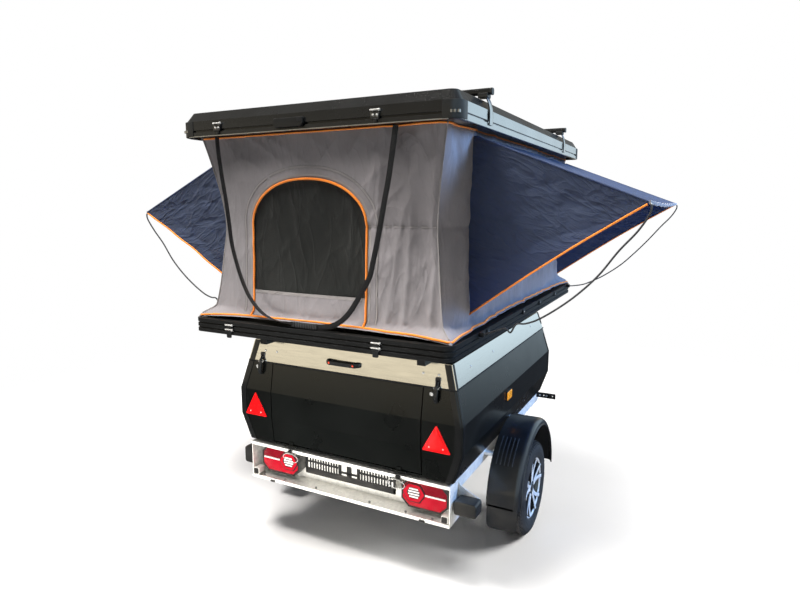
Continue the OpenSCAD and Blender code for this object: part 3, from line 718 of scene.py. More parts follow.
class Finishes:
    """Every finish of the trailer, by the part of it that wears it."""

    panel = SolidFinish(
        "gloss_panel", "black_panel", (0.0034, 0.0040, 0.0038), rough=0.3, rough_spread=0.05, coat=0.28,
        coat_rough=0.07, specular=0.3, grain_scale=240.0, grain_depth=0.00006, mottle=0.25,
        mottle_scale=4.0, dust=0.02,
    )
    skirt = SolidFinish(
        "satin_skirt", "silver_skirt", slot_colour("silver_skirt"), metal=1.0, rough=0.2, rough_spread=0.04,
        grain_scale=60.0, grain_depth=0.00004, stretch=(6.0, 6.0, 90.0), mottle=0.04, mottle_scale=1.2,
    )
    profile = SolidFinish(
        "black_anodised", "black_profile", (0.007, 0.0075, 0.008), rough=0.38, rough_spread=0.05, coat=0.3,
        coat_rough=0.12, specular=0.3, grain_scale=700.0, grain_depth=0.00002, wear=0.2,
        wear_colour=(0.2, 0.2, 0.21), dust=0.05,
    )
    # Black profile whose X-facing faces turn into bright metal: a painted reflection of the sky at grazing angles,
    # on the shell's sides and the bar legs.
    shell = SolidFinish(
        "shell_rail", "black_profile", (0.008, 0.0085, 0.009), rough=0.26, rough_spread=0.05, coat=0.3,
        coat_rough=0.12, specular=0.3, grain_scale=700.0, grain_depth=0.00002, wear=0.15,
        wear_colour=(0.2, 0.2, 0.21), dust=0.05, bare_side=(0.50, 0.51, 0.52),
    )
    rail = SolidFinish(
        "black_rail", "black_profile", (0.009, 0.0095, 0.010), rough=0.42, rough_spread=0.06, coat=0.15,
        coat_rough=0.25, specular=0.3, grain_scale=900.0, grain_depth=0.00005, wear=0.25,
        wear_colour=(0.2, 0.2, 0.21), dust=0.1,
    )
    latch = SolidFinish(
        "latch_enamel", "latch_metal", slot_colour("latch_metal"), rough=0.28, coat=0.6, wear=0.6,
        wear_colour=(0.45, 0.45, 0.46), grain_scale=700.0,
    )
    plastic = SolidFinish(
        "moulded_plastic", "black_plastic", (0.011, 0.012, 0.013), rough=0.36, rough_spread=0.07,
        grain_scale=1500.0, grain_depth=0.00016, mottle=0.15, dust=0.3, specular=0.55,
    )
    guard = SolidFinish(
        "guard_plastic", "black_plastic", (0.012, 0.0135, 0.016), rough=0.34, rough_spread=0.06, coat=0.45,
        coat_rough=0.16, grain_scale=1300.0, grain_depth=0.00012, mottle=0.15, dust=0.12,
    )
    # Ridges in lighter plastic: a painted highlight for the light that catches the ribs' crisp edges.
    guard_rib = SolidFinish(
        "guard_rib_painted_highlight", "black_plastic", (0.050, 0.056, 0.062), rough=0.3, rough_spread=0.05, coat=0.4,
        grain_scale=1300.0, grain_depth=0.0001, mottle=0.2,
    )
    tyre = SolidFinish(
        "tyre_tread", "tyre_rubber", slot_colour("tyre_rubber"), rough=0.72, grain_scale=1200.0,
        grain_depth=0.0003, mottle=0.25, mottle_scale=22.0, dust=0.45, dust_colour=(0.12, 0.11, 0.1),
    )
    alloy = SolidFinish(
        "machined_alloy", "alloy", (0.84, 0.84, 0.83), metal=0.2, rough=0.24, rough_spread=0.05,
        grain_scale=300.0, grain_depth=0.00003, mottle=0.05, dust=0.1, stretch=(1.0, 8.0, 8.0),
    )
    alloy_black = SolidFinish(
        "painted_alloy", "alloy", (0.012, 0.012, 0.014), rough=0.22, coat=0.8, grain_scale=500.0, dust=0.25,
        grain_depth=0.00005,
    )
    axle = SolidFinish(
        "axle_black", "axle_steel", slot_colour("axle_steel"), rough=0.62, metal=0.4, grain_scale=320.0,
        grain_depth=0.0005, mottle=0.3, dust=0.6, wear=0.3, wear_colour=(0.22, 0.12, 0.07),
    )
    zinc = SolidFinish(
        "zinc_plate", "zinc_steel", slot_colour("zinc_steel"), metal=1.0, rough=0.32, rough_spread=0.08,
        grain_scale=500.0, grain_depth=0.00008, mottle=0.12, mottle_scale=14.0, dust=0.2,
    )
    bright = SolidFinish(
        "bright_plate", "zinc_steel", (0.85, 0.85, 0.83), metal=0.6, rough=0.2, mottle=0.05,
        grain_depth=0.00002,
    )
    rod = SolidFinish(
        "spring_rod", "rod_steel", (0.06, 0.062, 0.066), metal=0.3, rough=0.4, grain_scale=600.0, mottle=0.2,
        mottle_scale=12.0,
    )
    small_tyre = SolidFinish(
        "solid_tread", "jockey_rubber", slot_colour("jockey_rubber"), rough=0.78, grain_scale=700.0,
        grain_depth=0.0003, mottle=0.2, dust=0.6,
    )
    seal = SolidFinish(
        "rubber_seal", "black_plastic", (0.012, 0.012, 0.013), rough=0.6, grain_scale=900.0,
        grain_depth=0.0001,
    )
    screw_cap = SolidFinish(
        "red_screw_cap", "reflector_red", (0.55, 0.06, 0.03), rough=0.4, grain_scale=700.0,
        grain_depth=0.00005,
    )
    galvanised = SpangleFinish("hot_dip_zinc", "galvanised", (0.86, 0.85, 0.81), stain=0.10)
    lens_dark = PrismFinish("lens_dark_red", "lamp_red", (0.16, 0.004, 0.010), prism=180.0)
    # The bright lens carries a faint painted glow.
    lens_bright = PrismFinish("lens_bright_red", "lamp_red", (0.40, 0.006, 0.018), prism=220.0, glow=0.04)
    lens_clear = PrismFinish("lens_clear", "lamp_red", (0.78, 0.74, 0.72), prism=420.0, rough=0.1)
    # Both reflectors carry a painted glow, the amber one strongly.
    reflex_red = PrismFinish("reflex_red", "reflector_red", (0.78, 0.004, 0.006), prism=300.0, glow=0.06)
    reflex_amber = PrismFinish("reflex_amber", "reflector_amber", (0.80, 0.30, 0.015), prism=300.0, glow=0.7)
    canvas = ClothFinish("tent_canvas", "tent_cloth", (0.242, 0.228, 0.236), crumple=0.0032,
                         crumple_scale=4.6)
    canvas_trim = ClothFinish("tent_canvas_trim", "tent_cloth", (0.27, 0.255, 0.25), crumple=0.002)
    seam = ClothFinish("seam_tape", "tent_cloth", (0.12, 0.115, 0.115), thread=0.0006, crumple=0.0005)
    # Near-black and opaque: the net's own dark colour, together with painted shade standing in for the dark tent
    # inside seen through it.
    net = ClothFinish(
        "insect_net_and_painted_shade", "mesh_cloth", (0.018, 0.019, 0.018), thread=0.0016, depth=0.0005, crumple=0.006,
        crumple_scale=3.4, rough=0.75, sheen=0.06, fade=0.3,
    )
    awning = ClothFinish(
        "coated_awning", "awning_cloth", (0.052, 0.065, 0.099), thread=0.0008, crumple=0.005,
        crumple_scale=8.0, rough=0.48, sheen=0.05, fade=0.1, through=(0.10, 0.26, 0.62),
    )
    webbing = ClothFinish(
        "strap_webbing", "webbing", (0.010, 0.010, 0.011), thread=0.0014, depth=0.0005,
        crumple=0.001, rough=0.5, sheen=0.08,
    )
    piping = ClothFinish(
        "orange_piping", None, (0.92, 0.27, 0.035), thread=0.0007, crumple=0.0006, rough=0.6,
        sheen=0.2, fade=0.08,
    )


# ---- Making pieces --------------------------------------------------------------------------


class Piece:
    """Collects closed shells, each with its finish, and turns them into one object on a body."""

    def __init__(self, name: str, body: str, replaces: Sequence[str] = ()) -> None:
        """Starts an empty piece.

        Args:
            name: Name of the finished object.
            body: CAD body that it rides on.
            replaces: CAD nodes that it stands for.
        """
        self.name, self.body, self.replaces = name, body, replaces
        self.mesh = bmesh.new()
        self.finishes: list[Finish] = []

    def add(self, part: Shell, finish: Finish) -> None:
        """Adds a shell and frees it.

        Args:
            part: The shell.
            finish: The finish of all its faces.
        """
        bmesh.ops.recalc_face_normals(part, faces=part.faces)
        if finish not in self.finishes:
            self.finishes.append(finish)
        for face in part.faces:
            face.material_index = self.finishes.index(finish)
        scratch = mesh_of("scratch", part)
        self.mesh.from_mesh(scratch)
        bpy.data.meshes.remove(scratch)

    def prism(
        self,
        outline: Sequence[Pair],
        axis: Axis,
        start: float,
        end: float,
        finish: Finish,
        bevel: float = 0.0,
        steps: int = 2,
    ) -> None:
        """Adds an outline drawn out along an axis.

        Args:
            outline: Points in the other two axes, in their order.
            axis: The axis to draw it along.
            start: Where it starts on that axis.
            end: Where it ends.
            finish: Its finish.
            bevel: Width of the rounded edges.
            steps: Steps in each rounded edge.
        """
        part = bmesh.new()

        def at(q: Pair, along: float) -> Triple:
            spot = list(q)
            spot.insert(axis.value, along)
            return tuple(spot)

        rings = [[part.verts.new(at(q, along)) for q in outline] for along in (start, end)]
        for ring in rings:
            part.faces.new(ring)
        for i in range(len(outline)):
            j = (i + 1) % len(outline)
            part.faces.new((rings[0][i], rings[0][j], rings[1][j], rings[1][i]))
        bmesh.ops.recalc_face_normals(part, faces=part.faces)
        if bevel > 0:
            sharp = [e for e in part.edges if e.calc_face_angle(0.0) > 0.6]
            bmesh.ops.bevel(
                part, geom=sharp, offset=bevel, segments=steps, profile=0.6, affect="EDGES",
                clamp_overlap=True
            )
        self.add(part, finish)

    def block(
        self, lo: Sequence[float], hi: Sequence[float], finish: Finish, bevel: float = 0.0, steps: int = 2
    ) -> None:
        """Adds a block with rounded edges.

        Args:
            lo: Its lowest corner.
            hi: Its highest corner.
            finish: Its finish.
            bevel: Width of the rounded edges.
            steps: Steps in each rounded edge.
        """
        outline = [(lo[0], lo[1]), (hi[0], lo[1]), (hi[0], hi[1]), (lo[0], hi[1])]
        self.prism(outline, Axis.Z, lo[2], hi[2], finish, bevel, steps)

    def lathe(
        self, profile: Sequence[Pair], centre: Sequence[float], axis: Axis, finish: Finish, steps: int = 48,
        ring: bool = False,
    ) -> None:
        """Adds a profile turned about an axis.

        Args:
            profile: Pairs of distance along the axis and radius.
            centre: Point on the axis that the distances start from.
            axis: The axis to turn about.
            finish: Its finish.
            steps: Steps round the axis.
            ring: True if the profile is a closed loop, as a tyre's is.
        """
        part = bmesh.new()
        u, v = (a for a in range(3) if a != axis.value)
        rings: list[list[Vert]] = []
        for along, radius in profile:
            row = []
            for k in range(steps if radius > 1e-6 else 1):
                spot = list(centre)
                spot[axis.value] += along
                spot[u] += radius * math.cos(math.tau * k / steps)
                spot[v] += radius * math.sin(math.tau * k / steps)
                row.append(part.verts.new(spot))
            rings.append(row)
        pairs = list(zip(rings, rings[1:])) + ([(rings[-1], rings[0])] if ring else [])
        for a, b in pairs:
            for k in range(steps):
                m = (k + 1) % steps
                corners = [a[k % len(a)], a[m % len(a)], b[m % len(b)], b[k % len(b)]]
                unique = list(dict.fromkeys(corners))
                if len(unique) > 2:
                    part.faces.new(unique)
        if not ring:
            for row in (rings[0], rings[-1]):
                if len(row) > 2:
                    part.faces.new(row)
        self.add(part, finish)

    def sweep(
        self, path: Sequence[Vector], section: Sequence[Pair], finish: Finish,
        wide: Sequence[float] | None = None,
        closed: bool = False, taper: Callable[[float], float] | None = None,
    ) -> None:
        """Adds a section swept along a path, with a UV map in metres.

        Args:
            path: The points that the section's middle follows.
            section: The section, its first direction along wide.
            finish: Its finish.
            wide: Direction that the section's first axis keeps to, or None to turn it as little as possible.
            closed: True if the path runs back into its start.
            taper: Size of the section at a share of the way, 1 if absent.
        """
        part = bmesh.new()
        layer = part.loops.layers.uv.new("UVMap")
        n = len(path)
        rows: list[list[Vert]] = []
        side = Vector(wide) if wide is not None else None
        previous: Vector | None = None
        lengths = [0.0]
        for i in range(1, n):
            lengths.append(lengths[-1] + (path[i] - path[i - 1]).length)
        for i, spot in enumerate(path):
            ahead = path[(i + 1) % n] if closed or i + 1 < n else path[i]
            behind = path[i - 1] if closed or i > 0 else path[i]
            tangent = (ahead - behind).normalized()
            guide = side or previous or tangent.orthogonal()
            across = (guide - tangent * guide.dot(tangent)).normalized()
            previous = across
            up = tangent.cross(across)
            size = taper(lengths[i] / max(lengths[-1], 1e-9)) if taper else 1.0
            rows.append([part.verts.new(spot + (across * a + up * b) * size) for a, b in section])
        m = len(section)
        girth = [0.0]
        for k in range(m):
            girth.append(girth[-1] + math.dist(section[k], section[(k + 1) % m]))
        for i in range(n if closed else n - 1):
            j = (i + 1) % n
            for k in range(m):
                face = part.faces.new((rows[i][k], rows[i][(k + 1) % m], rows[j][(k + 1) % m], rows[j][k]))
                far = lengths[j] if j > i else lengths[i] + (path[j] - path[i]).length
                for loop, uv in zip(face.loops, (
                    (girth[k], lengths[i]), (girth[k + 1], lengths[i]), (girth[k + 1], far), (girth[k], far)
                )):
                    loop[layer].uv = uv
        if not closed:
            for row in (rows[0], rows[-1]):
                part.faces.new(row)
        self.add(part, finish)

    def finish(self, smooth: float = 35.0) -> Item:
        """Makes the object, dresses it and puts it on its body.

        Args:
            smooth: Edges sharper than this many degrees stay sharp.

        Returns:
            The finished object.
        """
        return settle(self.name, mesh_of(self.name, self.mesh), self.finishes, self.body,
                      self.replaces, smooth)


def settle(
    name: str, data: bpy.types.Mesh, finishes: Sequence[Finish], body: str, replaces: Sequence[str] = (),
    smooth: float = 35.0,
) -> Item:
    """Links a mesh into the scene as a piece, dresses it and puts it on its body.

    Args:
        name: Name of the object.
        data: Its mesh, in place.
        finishes: Its finishes, in the order of its material indices.
        body: CAD body that it rides on.
        replaces: CAD nodes that it stands for.
        smooth: Edges sharper than this many degrees stay sharp.

    Returns:
        The object.
    """
    piece = link(name, data)
    if not data.materials:
        for finish in finishes:
            data.materials.append(finish.material())
    data.shade_smooth()
    data.set_sharp_from_angle(angle=math.radians(smooth))
    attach(piece, body)
    if replaces:
        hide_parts(*replaces)
    LOG.info("%s: %d faces on %s", name, len(data.polygons), body)
    return piece


@dataclass(frozen=True)
class Spot:
    """A place for one repeated unit: where it is and which ways it faces."""

    at: Vector
    facing: Vector
    along: Vector = field(default_factory=lambda: Vector((0, 0, 1)))


class Repeater:
    """Geometry Nodes tree that sets one unit shape on many spots."""

    _tree: bpy.types.NodeTree | None = None
    _ids: dict[str, str] = {}

    @classmethod
    def tree(cls) -> bpy.types.NodeTree:
        """Builds the tree on first use and gives it."""
        if cls._tree is None:
            tree = bpy.data.node_groups.new("set_units_on_spots", "GeometryNodeTree")
            tree.is_modifier = True
            face = tree.interface
            face.new_socket("Spots", in_out="INPUT", socket_type="NodeSocketGeometry")
            for label, kind in (("Unit", "NodeSocketObject"), ("Unit Size", "NodeSocketFloat"),
                                ("Finish", "NodeSocketMaterial")):
                cls._ids[label] = face.new_socket(label, in_out="INPUT", socket_type=kind).identifier
            face.new_socket("Geometry", in_out="OUTPUT", socket_type="NodeSocketGeometry")
            b = Bench(tree)
            start, end = tree.nodes.new("NodeGroupInput"), tree.nodes.new("NodeGroupOutput")
            facing, along = (
                b.add("GeometryNodeInputNamedAttribute", {"Name": label}, data_type="FLOAT_VECTOR").outputs[0]
                for label in ("facing", "along")
            )
            up = b.add("FunctionNodeAlignRotationToVector", {"Vector": facing}, axis="Z").outputs[0]
            turned = b.add(
                "FunctionNodeAlignRotationToVector", {"Rotation": up, "Vector": along}, axis="X",
                pivot_axis="Z"
            ).outputs[0]
            unit = b.add("GeometryNodeObjectInfo", {"Object": start.outputs["Unit"]}).outputs["Geometry"]
            placed = b.add(
                "GeometryNodeInstanceOnPoints",
                {"Points": start.outputs["Spots"], "Instance": unit, "Rotation": turned,
                 "Scale": start.outputs["Unit Size"]},
            ).outputs[0]
            real = b.add("GeometryNodeRealizeInstances", {"Geometry": placed}).outputs[0]
            dressed = b.add("GeometryNodeSetMaterial",
                            {"Geometry": real, "Material": start.outputs["Finish"]})
            tree.links.new(dressed.outputs[0], end.inputs[0])
            cls._tree = tree
        return cls._tree

    @classmethod
    def place(
        cls, name: str, unit: Shell, spots: Sequence[Spot], finish: Finish, body: str,
        size: float = 1.0, smooth: float = 35.0,
    ) -> Item:
        """Sets a unit on its spots and makes the result a plain piece.

        Args:
            name: Name of the piece.
            unit: The unit, its Z along the spot's facing and its X along the spot's second direction.
            spots: Where the units go.
            finish: Their finish.
            body: CAD body that they ride on.
            size: Size of all the units.
            smooth: Edges sharper than this many degrees stay sharp.

        Returns:
            The finished object.
        """
        tree = cls.tree()
        bmesh.ops.recalc_face_normals(unit, faces=unit.faces)
        source = link("unit", mesh_of("unit", unit))
        points = bpy.data.meshes.new("spots")
        points.from_pydata([s.at for s in spots], [], [])
        for label, values in (("facing", [s.facing for s in spots]), ("along", [s.along for s in spots])):
            layer = points.attributes.new(label, "FLOAT_VECTOR", "POINT")
            layer.data.foreach_set("vector", [c for v in values for c in v])
        holder = link("spots", points)
        change = holder.modifiers.new("repeat", "NODES")
        change.node_group = tree
        change[cls._ids["Unit"]] = source
        change[cls._ids["Unit Size"]] = size
        change[cls._ids["Finish"]] = finish.material()
        data = freeze(holder, name)
        bpy.data.objects.remove(source)
        return settle(name, data, [finish], body, smooth=smooth)


def dome_unit(radius: float, height: float, sides: int = 12, slot: bool = False) -> Shell:
    """A domed screw or rivet head, standing on the XY plane.

    Args:
        radius: Radius of its foot.
        height: Height of its dome.
        sides: Corners round it.
        slot: True for a socket sunk into its top.

    Returns:
        The unit shape.
    """
    part = bmesh.new()
    rows = [(0.0, radius), (0.45 * height, radius), (0.8 * height, 0.8 * radius), (height, 0.45 * radius)]
    if slot:
        rows.append((0.5 * height, 0.38 * radius))
    rings = [
        [part.verts.new((r * math.cos(math.tau * k / sides), r * math.sin(math.tau * k / sides), z))
         for k in range(sides)]
        for z, r in rows
    ]
    skin(part, rings)
    return part


def brick_unit(length: float, width: float, height: float, top: float = 0.8) -> Shell:
    """A small brick, standing on the XY plane with its length along X, narrower at its top.

    Args:
        length: Size along X.
        width: Size along Y.
        height: Size along Z.
        top: Share of length and width that is left at the top.

    Returns:
        The unit shape.
    """
    part = bmesh.new()
    rows = []
    for z, share in ((0.0, 1.0), (0.7 * height, 0.5 + top / 2), (height, top)):
        a, b = length / 2 * share, width / 2 * share
        rows.append([part.verts.new(q) for q in ((-a, -b, z), (a, -b, z), (a, b, z), (-a, b, z))])
    skin(part, rows)
    return part


def dress(finish: Finish, *nodes: str) -> None:
    """Gives CAD nodes that stay a finish."""
    for node in nodes:
        shown = frame["nodes"][node]
        for place in shown.material_slots:
            place.material = finish.material()
        if not shown.material_slots:
            shown.data.materials.append(finish.material())
        LOG.info("%s: CAD shape kept, finish %s", node, finish.name)


# ---- Studio ---------------------------------------------------------------------------------


@dataclass
class Studio:
    """Floor, soft lights, background and camera."""

    azimuth: float = 27.45
    elevation: float = 9.09
    eye: Triple = (1.536, -3.615, 1.815)
    focal: float = 585.8
    image_width: float = 800.0
    sensor: float = 36.0
    ambient: float = 0.12
    sky: Item | None = None
    white: Item | None = None
    fill: Item | None = None

    def camera(self) -> None:
        """Sets the camera at its azimuth and elevation."""
        a, e = math.radians(self.azimuth), math.radians(self.elevation)
        look = -Vector((math.sin(a) * math.cos(e), -math.cos(a) * math.cos(e), math.sin(e)))
        lens = bpy.data.cameras.new("camera")
        lens.sensor_width = self.sensor
        lens.lens = self.focal * self.sensor / self.image_width
        lens.clip_start, lens.clip_end = 0.05, 200.0
        holder = link("camera", lens)
        holder.location = self.eye
        holder.rotation_euler = look.to_track_quat("-Z", "Y").to_euler()
        bpy.context.scene.camera = holder

    def lamp(self, name: str, place: Triple, aim: Triple, size: float, power: float, tint: Triple) -> Item:
        """Hangs one soft square lamp.

        Args:
            name: Its name.
            place: Where it hangs.
            aim: The point it faces.
            size: Length of its sides.
            power: Its power in watts.
            tint: Its colour.

        Returns:
            The lamp's object.
        """
        light = bpy.data.lights.new(name, "AREA")
        light.size, light.energy, light.color = size, power, tint
        holder = link(name, light)
        holder.location = place
        holder.rotation_euler = (Vector(aim) - Vector(place)).to_track_quat("-Z", "Y").to_euler()
        holder.visible_glossy = False
        holder.visible_camera = False
        return holder

    def lights(self) -> None:
        """Hangs the lamps: a warm key, one overhead, a low fill, and a cool one with its white twin."""
        self.lamp("key", (-0.9, -2.75, 6.2), (0, -1.0, 1.0), 2.0, 730, (1.0, 0.965, 0.93))
        self.lamp("top", (0.4, -0.6, 6.4), (0, -0.4, 0.0), 3.0, 390, (1.0, 0.99, 0.98))
        self.fill = self.lamp("fill", (-0.5, -2.8, 0.2), (0, -1.3, 0.35), 1.0, 24, (1.0, 0.97, 0.92))
        self.fill.data.spread = math.radians(82)
        place, aim = (4.6, 1.6, 3.9), (0.8, 0.1, 1.5)
        self.sky = self.lamp("sky", place, aim, 2.2, 640, (0.3, 0.53, 1.0))
        self.white = self.lamp("sky_white", place, aim, 2.2, 360, (1.0, 0.99, 0.97))

    def background(self) -> None:
        """Makes the world: white to the eye, pale in reflections above the floor line, even in its light."""
        world = bpy.data.worlds.new("studio")
        b = cleared(world)
        path = b.add("ShaderNodeLightPath")
        way = b.add("ShaderNodeSeparateXYZ", {0: b.add("ShaderNodeTexCoord").outputs["Generated"]})
        side, ahead, up = way.outputs
        right = b.span(side, 0.06, 0.24, 0.0, 1.0)
        behind = b.span(ahead, 0.1, -0.25, 0.6, 1.0)
        strip = b.math("MULTIPLY", b.span(up, -0.07, -0.01, 0.0, 1.0), b.span(up, 0.06, 0.16, 1.0, 0.2))
        warm = b.mix(b.math("MULTIPLY", behind, strip), (0.04, 0.04, 0.042, 1.0), (1.2, 1.07, 0.8, 1.0))
        wide = b.math("MULTIPLY", b.span(up, -0.16, -0.03, 0.0, 1.0), b.span(up, 0.55, 0.85, 1.0, 0.1))
        cool = b.mix(wide, (0.05, 0.055, 0.065, 1.0), (0.82, 1.03, 1.16, 1.0))
        mirrored = b.mix(right, warm, cool)
        lit = b.mix(path.outputs["Is Glossy Ray"],
                    (self.ambient, self.ambient, self.ambient * 1.03, 1.0), mirrored)
        seen = b.math("MAXIMUM", path.outputs["Is Camera Ray"], path.outputs["Is Transmission Ray"])
        colour = b.mix(seen, lit, (1.0, 1.0, 1.0, 1.0))
        sky = b.add("ShaderNodeBackground", {0: colour, 1: 1.0})
        b.add("ShaderNodeOutputWorld", {0: sky.outputs[0]})
        bpy.context.scene.world = world

    def floor(self) -> None:
        """Lays a pale round floor that fades out into the background."""
        part = bmesh.new()
        bmesh.ops.create_circle(part, cap_ends=True, segments=96, radius=6.0)
        ground = link("floor", mesh_of("floor", part))
        made = bpy.data.materials.new("pale_floor")
        b = cleared(made)
        where = b.add("ShaderNodeTexCoord").outputs["Object"]
        far = b.add("ShaderNodeVectorMath", {0: where}, operation="LENGTH").outputs["Value"]
        fade = b.span(far, 2.0, 4.6, 0.0, 1.0)
        cloud = b.span(b.noise(where, 2.0, 3.0), 0.3, 0.7, 0.97, 1.0)
        tone = b.add("ShaderNodeCombineColor", {0: cloud, 1: cloud, 2: cloud}).outputs[0]
        plain = b.add("ShaderNodeBsdfDiffuse", {0: tone})
        clear = b.add("ShaderNodeBsdfTransparent")
        both = b.add("ShaderNodeMixShader", {0: fade, 1: plain.outputs[0], 2: clear.outputs[0]})
        b.add("ShaderNodeOutputMaterial", {0: both.outputs[0]})
        ground.data.materials.append(made)
        ground.visible_glossy = False
        self.share_lamps(ground)

    def share_lamps(self, ground: Item) -> None:
        """Keeps the cool lamp and the low fill off the floor, which a white lamp lights alone.

        Args:
            ground: The floor.
        """
        for lamp, state in ((self.sky, "EXCLUDE"), (self.fill, "EXCLUDE"), (self.white, "INCLUDE")):
            group = bpy.data.collections.new(f"floor_for_{lamp.name}")
            group.objects.link(ground)
            group.collection_objects[0].light_linking.link_state = state
            lamp.light_linking.receiver_collection = group

    def build(self) -> None:
        """Builds the studio."""
        bpy.context.scene.view_settings.view_transform = "Standard"
        self.camera()
        self.lights()
        self.background()
        self.floor()


# ---- Box body -------------------------------------------------------------------------------


class Faces:
    """Where the box's leaning outer faces stand at each height."""

    def __init__(self) -> None:
        """Reads the side and end faces of the box and its lid."""
        lid = Extent.of("lid_shell")
        wall = fold_line("side_wall_right", Axis.X, 1)
        self.side = wall + [(lid.hi.z, fold_line("lid_shell", Axis.X, 1)[-1][1])]
        rear = fold_line("rear_panel_right", Axis.Y, -1)
        self.rear = [(z, y) for z, y in rear if z > Extent.of("tailgate").lo.z + 0.02 or z == rear[0][0]]
        self.rear.append((lid.hi.z, fold_line("lid_shell", Axis.Y, -1)[-1][1]))
        lid_nose = fold_line("lid_shell", Axis.Y, 1)[-1][1]
        self.front = fold_line("front_wall", Axis.Y, 1) + [(lid.hi.z, lid_nose)]

    def half(self, z: float) -> float:
        """Half width at a height."""
        return at_height(self.side, z)

    def back(self, z: float) -> float:
        """Y of the rear face at a height."""
        return at_height(self.rear, z)

    def nose(self, z: float) -> float:
        """Y of the front face at a height."""
        return at_height(self.front, z)


@dataclass
class BoxBody:
    """The box: panels, corner profiles, seals, rivets and hinges."""

    faces: Faces
    profile_reach: float = 0.036
    side_reach: float = 0.0175
    profile_thick: float = 0.0035
    corner_turn: float = 0.014
    hinge_room: float = 0.03
    rivet: float = 0.0062

    def panels(self) -> None:
        """Dresses the panels and steel that stay as the CAD has them."""
        dress(Finishes.panel, "side_wall_left", "side_wall_right", "rear_panel_left",
              "rear_panel_right", "tailgate", "front_wall")
        dress(Finishes.skirt, "lid_shell")
        dress(Finishes.axle, "axle_beam", "suspension_arms", "body_floor")
        dress(Finishes.galvanised, "chassis_frame", "drawbar", "coupling_head", "bumper_carrier")
        dress(Finishes.rail, "tent_carrier", "side_brackets")

    def corner_profile(self, low: float, high: float, body: str, name: str) -> None:
        """Wraps rounded profiles round the four upright edges of the box or lid.

        Args:
            low: Height where they start.
            high: Height where they end.
            body: Body that they ride on.
            name: Name of the piece.
        """
        piece = Piece(name, body)
        out = self.profile_thick
        for side in Side:
            for end in (-1, 1):
                z0 = low + (self.hinge_room if end > 0 and body == "lid" else 0.0)
                z1 = high - (self.hinge_room if end > 0 and body == "trailer" else 0.0)
                heights = sorted({z0, z1, *(z for z, _ in self.faces.side if z0 < z < z1),
                                  *(z0 + (z1 - z0) * k / 8 for k in range(1, 8))})
                rows: list[Path] = []
                for z in heights:
                    x = side.value * self.faces.half(z)
                    y = self.faces.back(z) if end < 0 else self.faces.nose(z)
                    edge = [(-self.profile_reach, -0.001), (-self.profile_reach, out)]
                    turn = self.corner_turn
                    arc = [(turn * (math.cos(t) - 1) + out * math.cos(t),
                            turn * (math.sin(t) - 1) + out * math.sin(t))
                           for t in (math.pi / 2 * (1 - k / 7) for k in range(8))]
                    edge += arc + [(out, -self.side_reach), (-0.001, -self.side_reach), (-0.004, -0.004)]
                    rows.append([Vector((x + side.value * a, y + end * b, z)) for a, b in edge])
                self.loft(piece, rows)
        piece.finish(smooth=40)

    @staticmethod
    def loft(piece: Piece, rows: Sequence[Path]) -> None:
        """Adds a closed shell through rows of points, in the profile's finish."""
        part = bmesh.new()
        skin(part, [[part.verts.new(v) for v in row] for row in rows])
        piece.add(part, Finishes.profile)

    def edges(self) -> None:
        """Adds the corner profiles of the box and of the lid, with the seal between them."""
        floor, skirt = self.faces.side[0][0], Extent.of("side_wall_right").hi.z
        self.corner_profile(floor + 0.002, skirt - 0.004, "trailer", "box_corner_profiles")
        self.corner_profile(skirt + 0.003, Extent.of("lid_shell").hi.z - 0.001, "lid", "lid_corner_profiles")
        seal = Piece("lid_seal", "lid")
        x = self.faces.half(skirt) - 0.002
        back, nose = self.faces.back(skirt) + 0.002, self.faces.nose(skirt) - 0.002
        loop = [Vector(q) for q in (
            (-x, back, skirt), (x, back, skirt), (x, nose, skirt), (-x, nose, skirt))]
        path: Path = []
        for i, corner in enumerate(loop):
            ahead = loop[(i + 1) % 4]
            path += [corner.lerp(ahead, t) for t in (0.0, 0.01, 0.25, 0.5, 0.75, 0.99)]
        seal.sweep(path, ellipse(0.009, 0.009, 8), Finishes.seal, closed=True)
        seal.finish(smooth=60)

    def band_rivets(self) -> None:
        """Sets the blind rivets of the silver band, on its rear and along both sides."""
        z = Extent.of("side_wall_right").hi.z + 0.06
        back = self.faces.back(z)
        lean = Vector((0, -1, 0.3)).normalized()
        spots = [Spot(Vector((x, back - 0.0002, z)), lean) for x in (-0.493, -0.417, 0.431, 0.509)]
        for y in (-1.05, -0.72, 0.02, 0.28):
            for side in Side:
                face = Vector((side.value, 0, 0.27)).normalized()
                spots.append(Spot(Vector((side.value * self.faces.half(z), y, z)), face))
        Repeater.place("lid_rivets", dome_unit(self.rivet, 0.0025), spots, Finishes.bright, "lid")

    def handle(self) -> None:
        """Builds the grab handle on the rear of the lid, with its red screw caps."""
        box = Extent.of("lid_handle")
        z, reach = box.mid.z, box.hi.x
        back = self.faces.back(z)
        piece = Piece("grab_handle", "lid", ["lid_handle"])
        grip = [Vector((x, back - off, z)) for x, off in (
            (-reach + 0.006, 0.004), (-reach + 0.02, 0.022), (-reach + 0.036, 0.0265), (-reach / 2, 0.0275),
            (0.0, 0.028), (reach / 2, 0.0275), (reach - 0.036, 0.0265), (reach - 0.02, 0.022),
            (reach - 0.006, 0.004))]
        path = smooth_path(grip, 5)
        piece.sweep(path, rounded(rectangle(0.023, 0.015), 0.006), Finishes.plastic, wide=(0, 0, 1),
                    taper=lambda t: 1.0 + 0.16 * (smoothstep(0.22, 0.1, t) + smoothstep(0.78, 0.9, t)))
        for side in Side:
            x = side.value * (reach - 0.012)
            foot = rounded(rectangle(0.026, 0.026, x, z), 0.011, 6)
            piece.prism(foot, Axis.Y, back - 0.019, back + 0.004, Finishes.plastic, 0.004, 3)
        piece.finish(smooth=50)
        spots = [Spot(Vector((s.value * (reach - 0.023), back - 0.0312, z)), REARWARD) for s in Side]
        Repeater.place("handle_screw_caps", dome_unit(0.0062, 0.0026, 14), spots, Finishes.screw_cap, "lid")

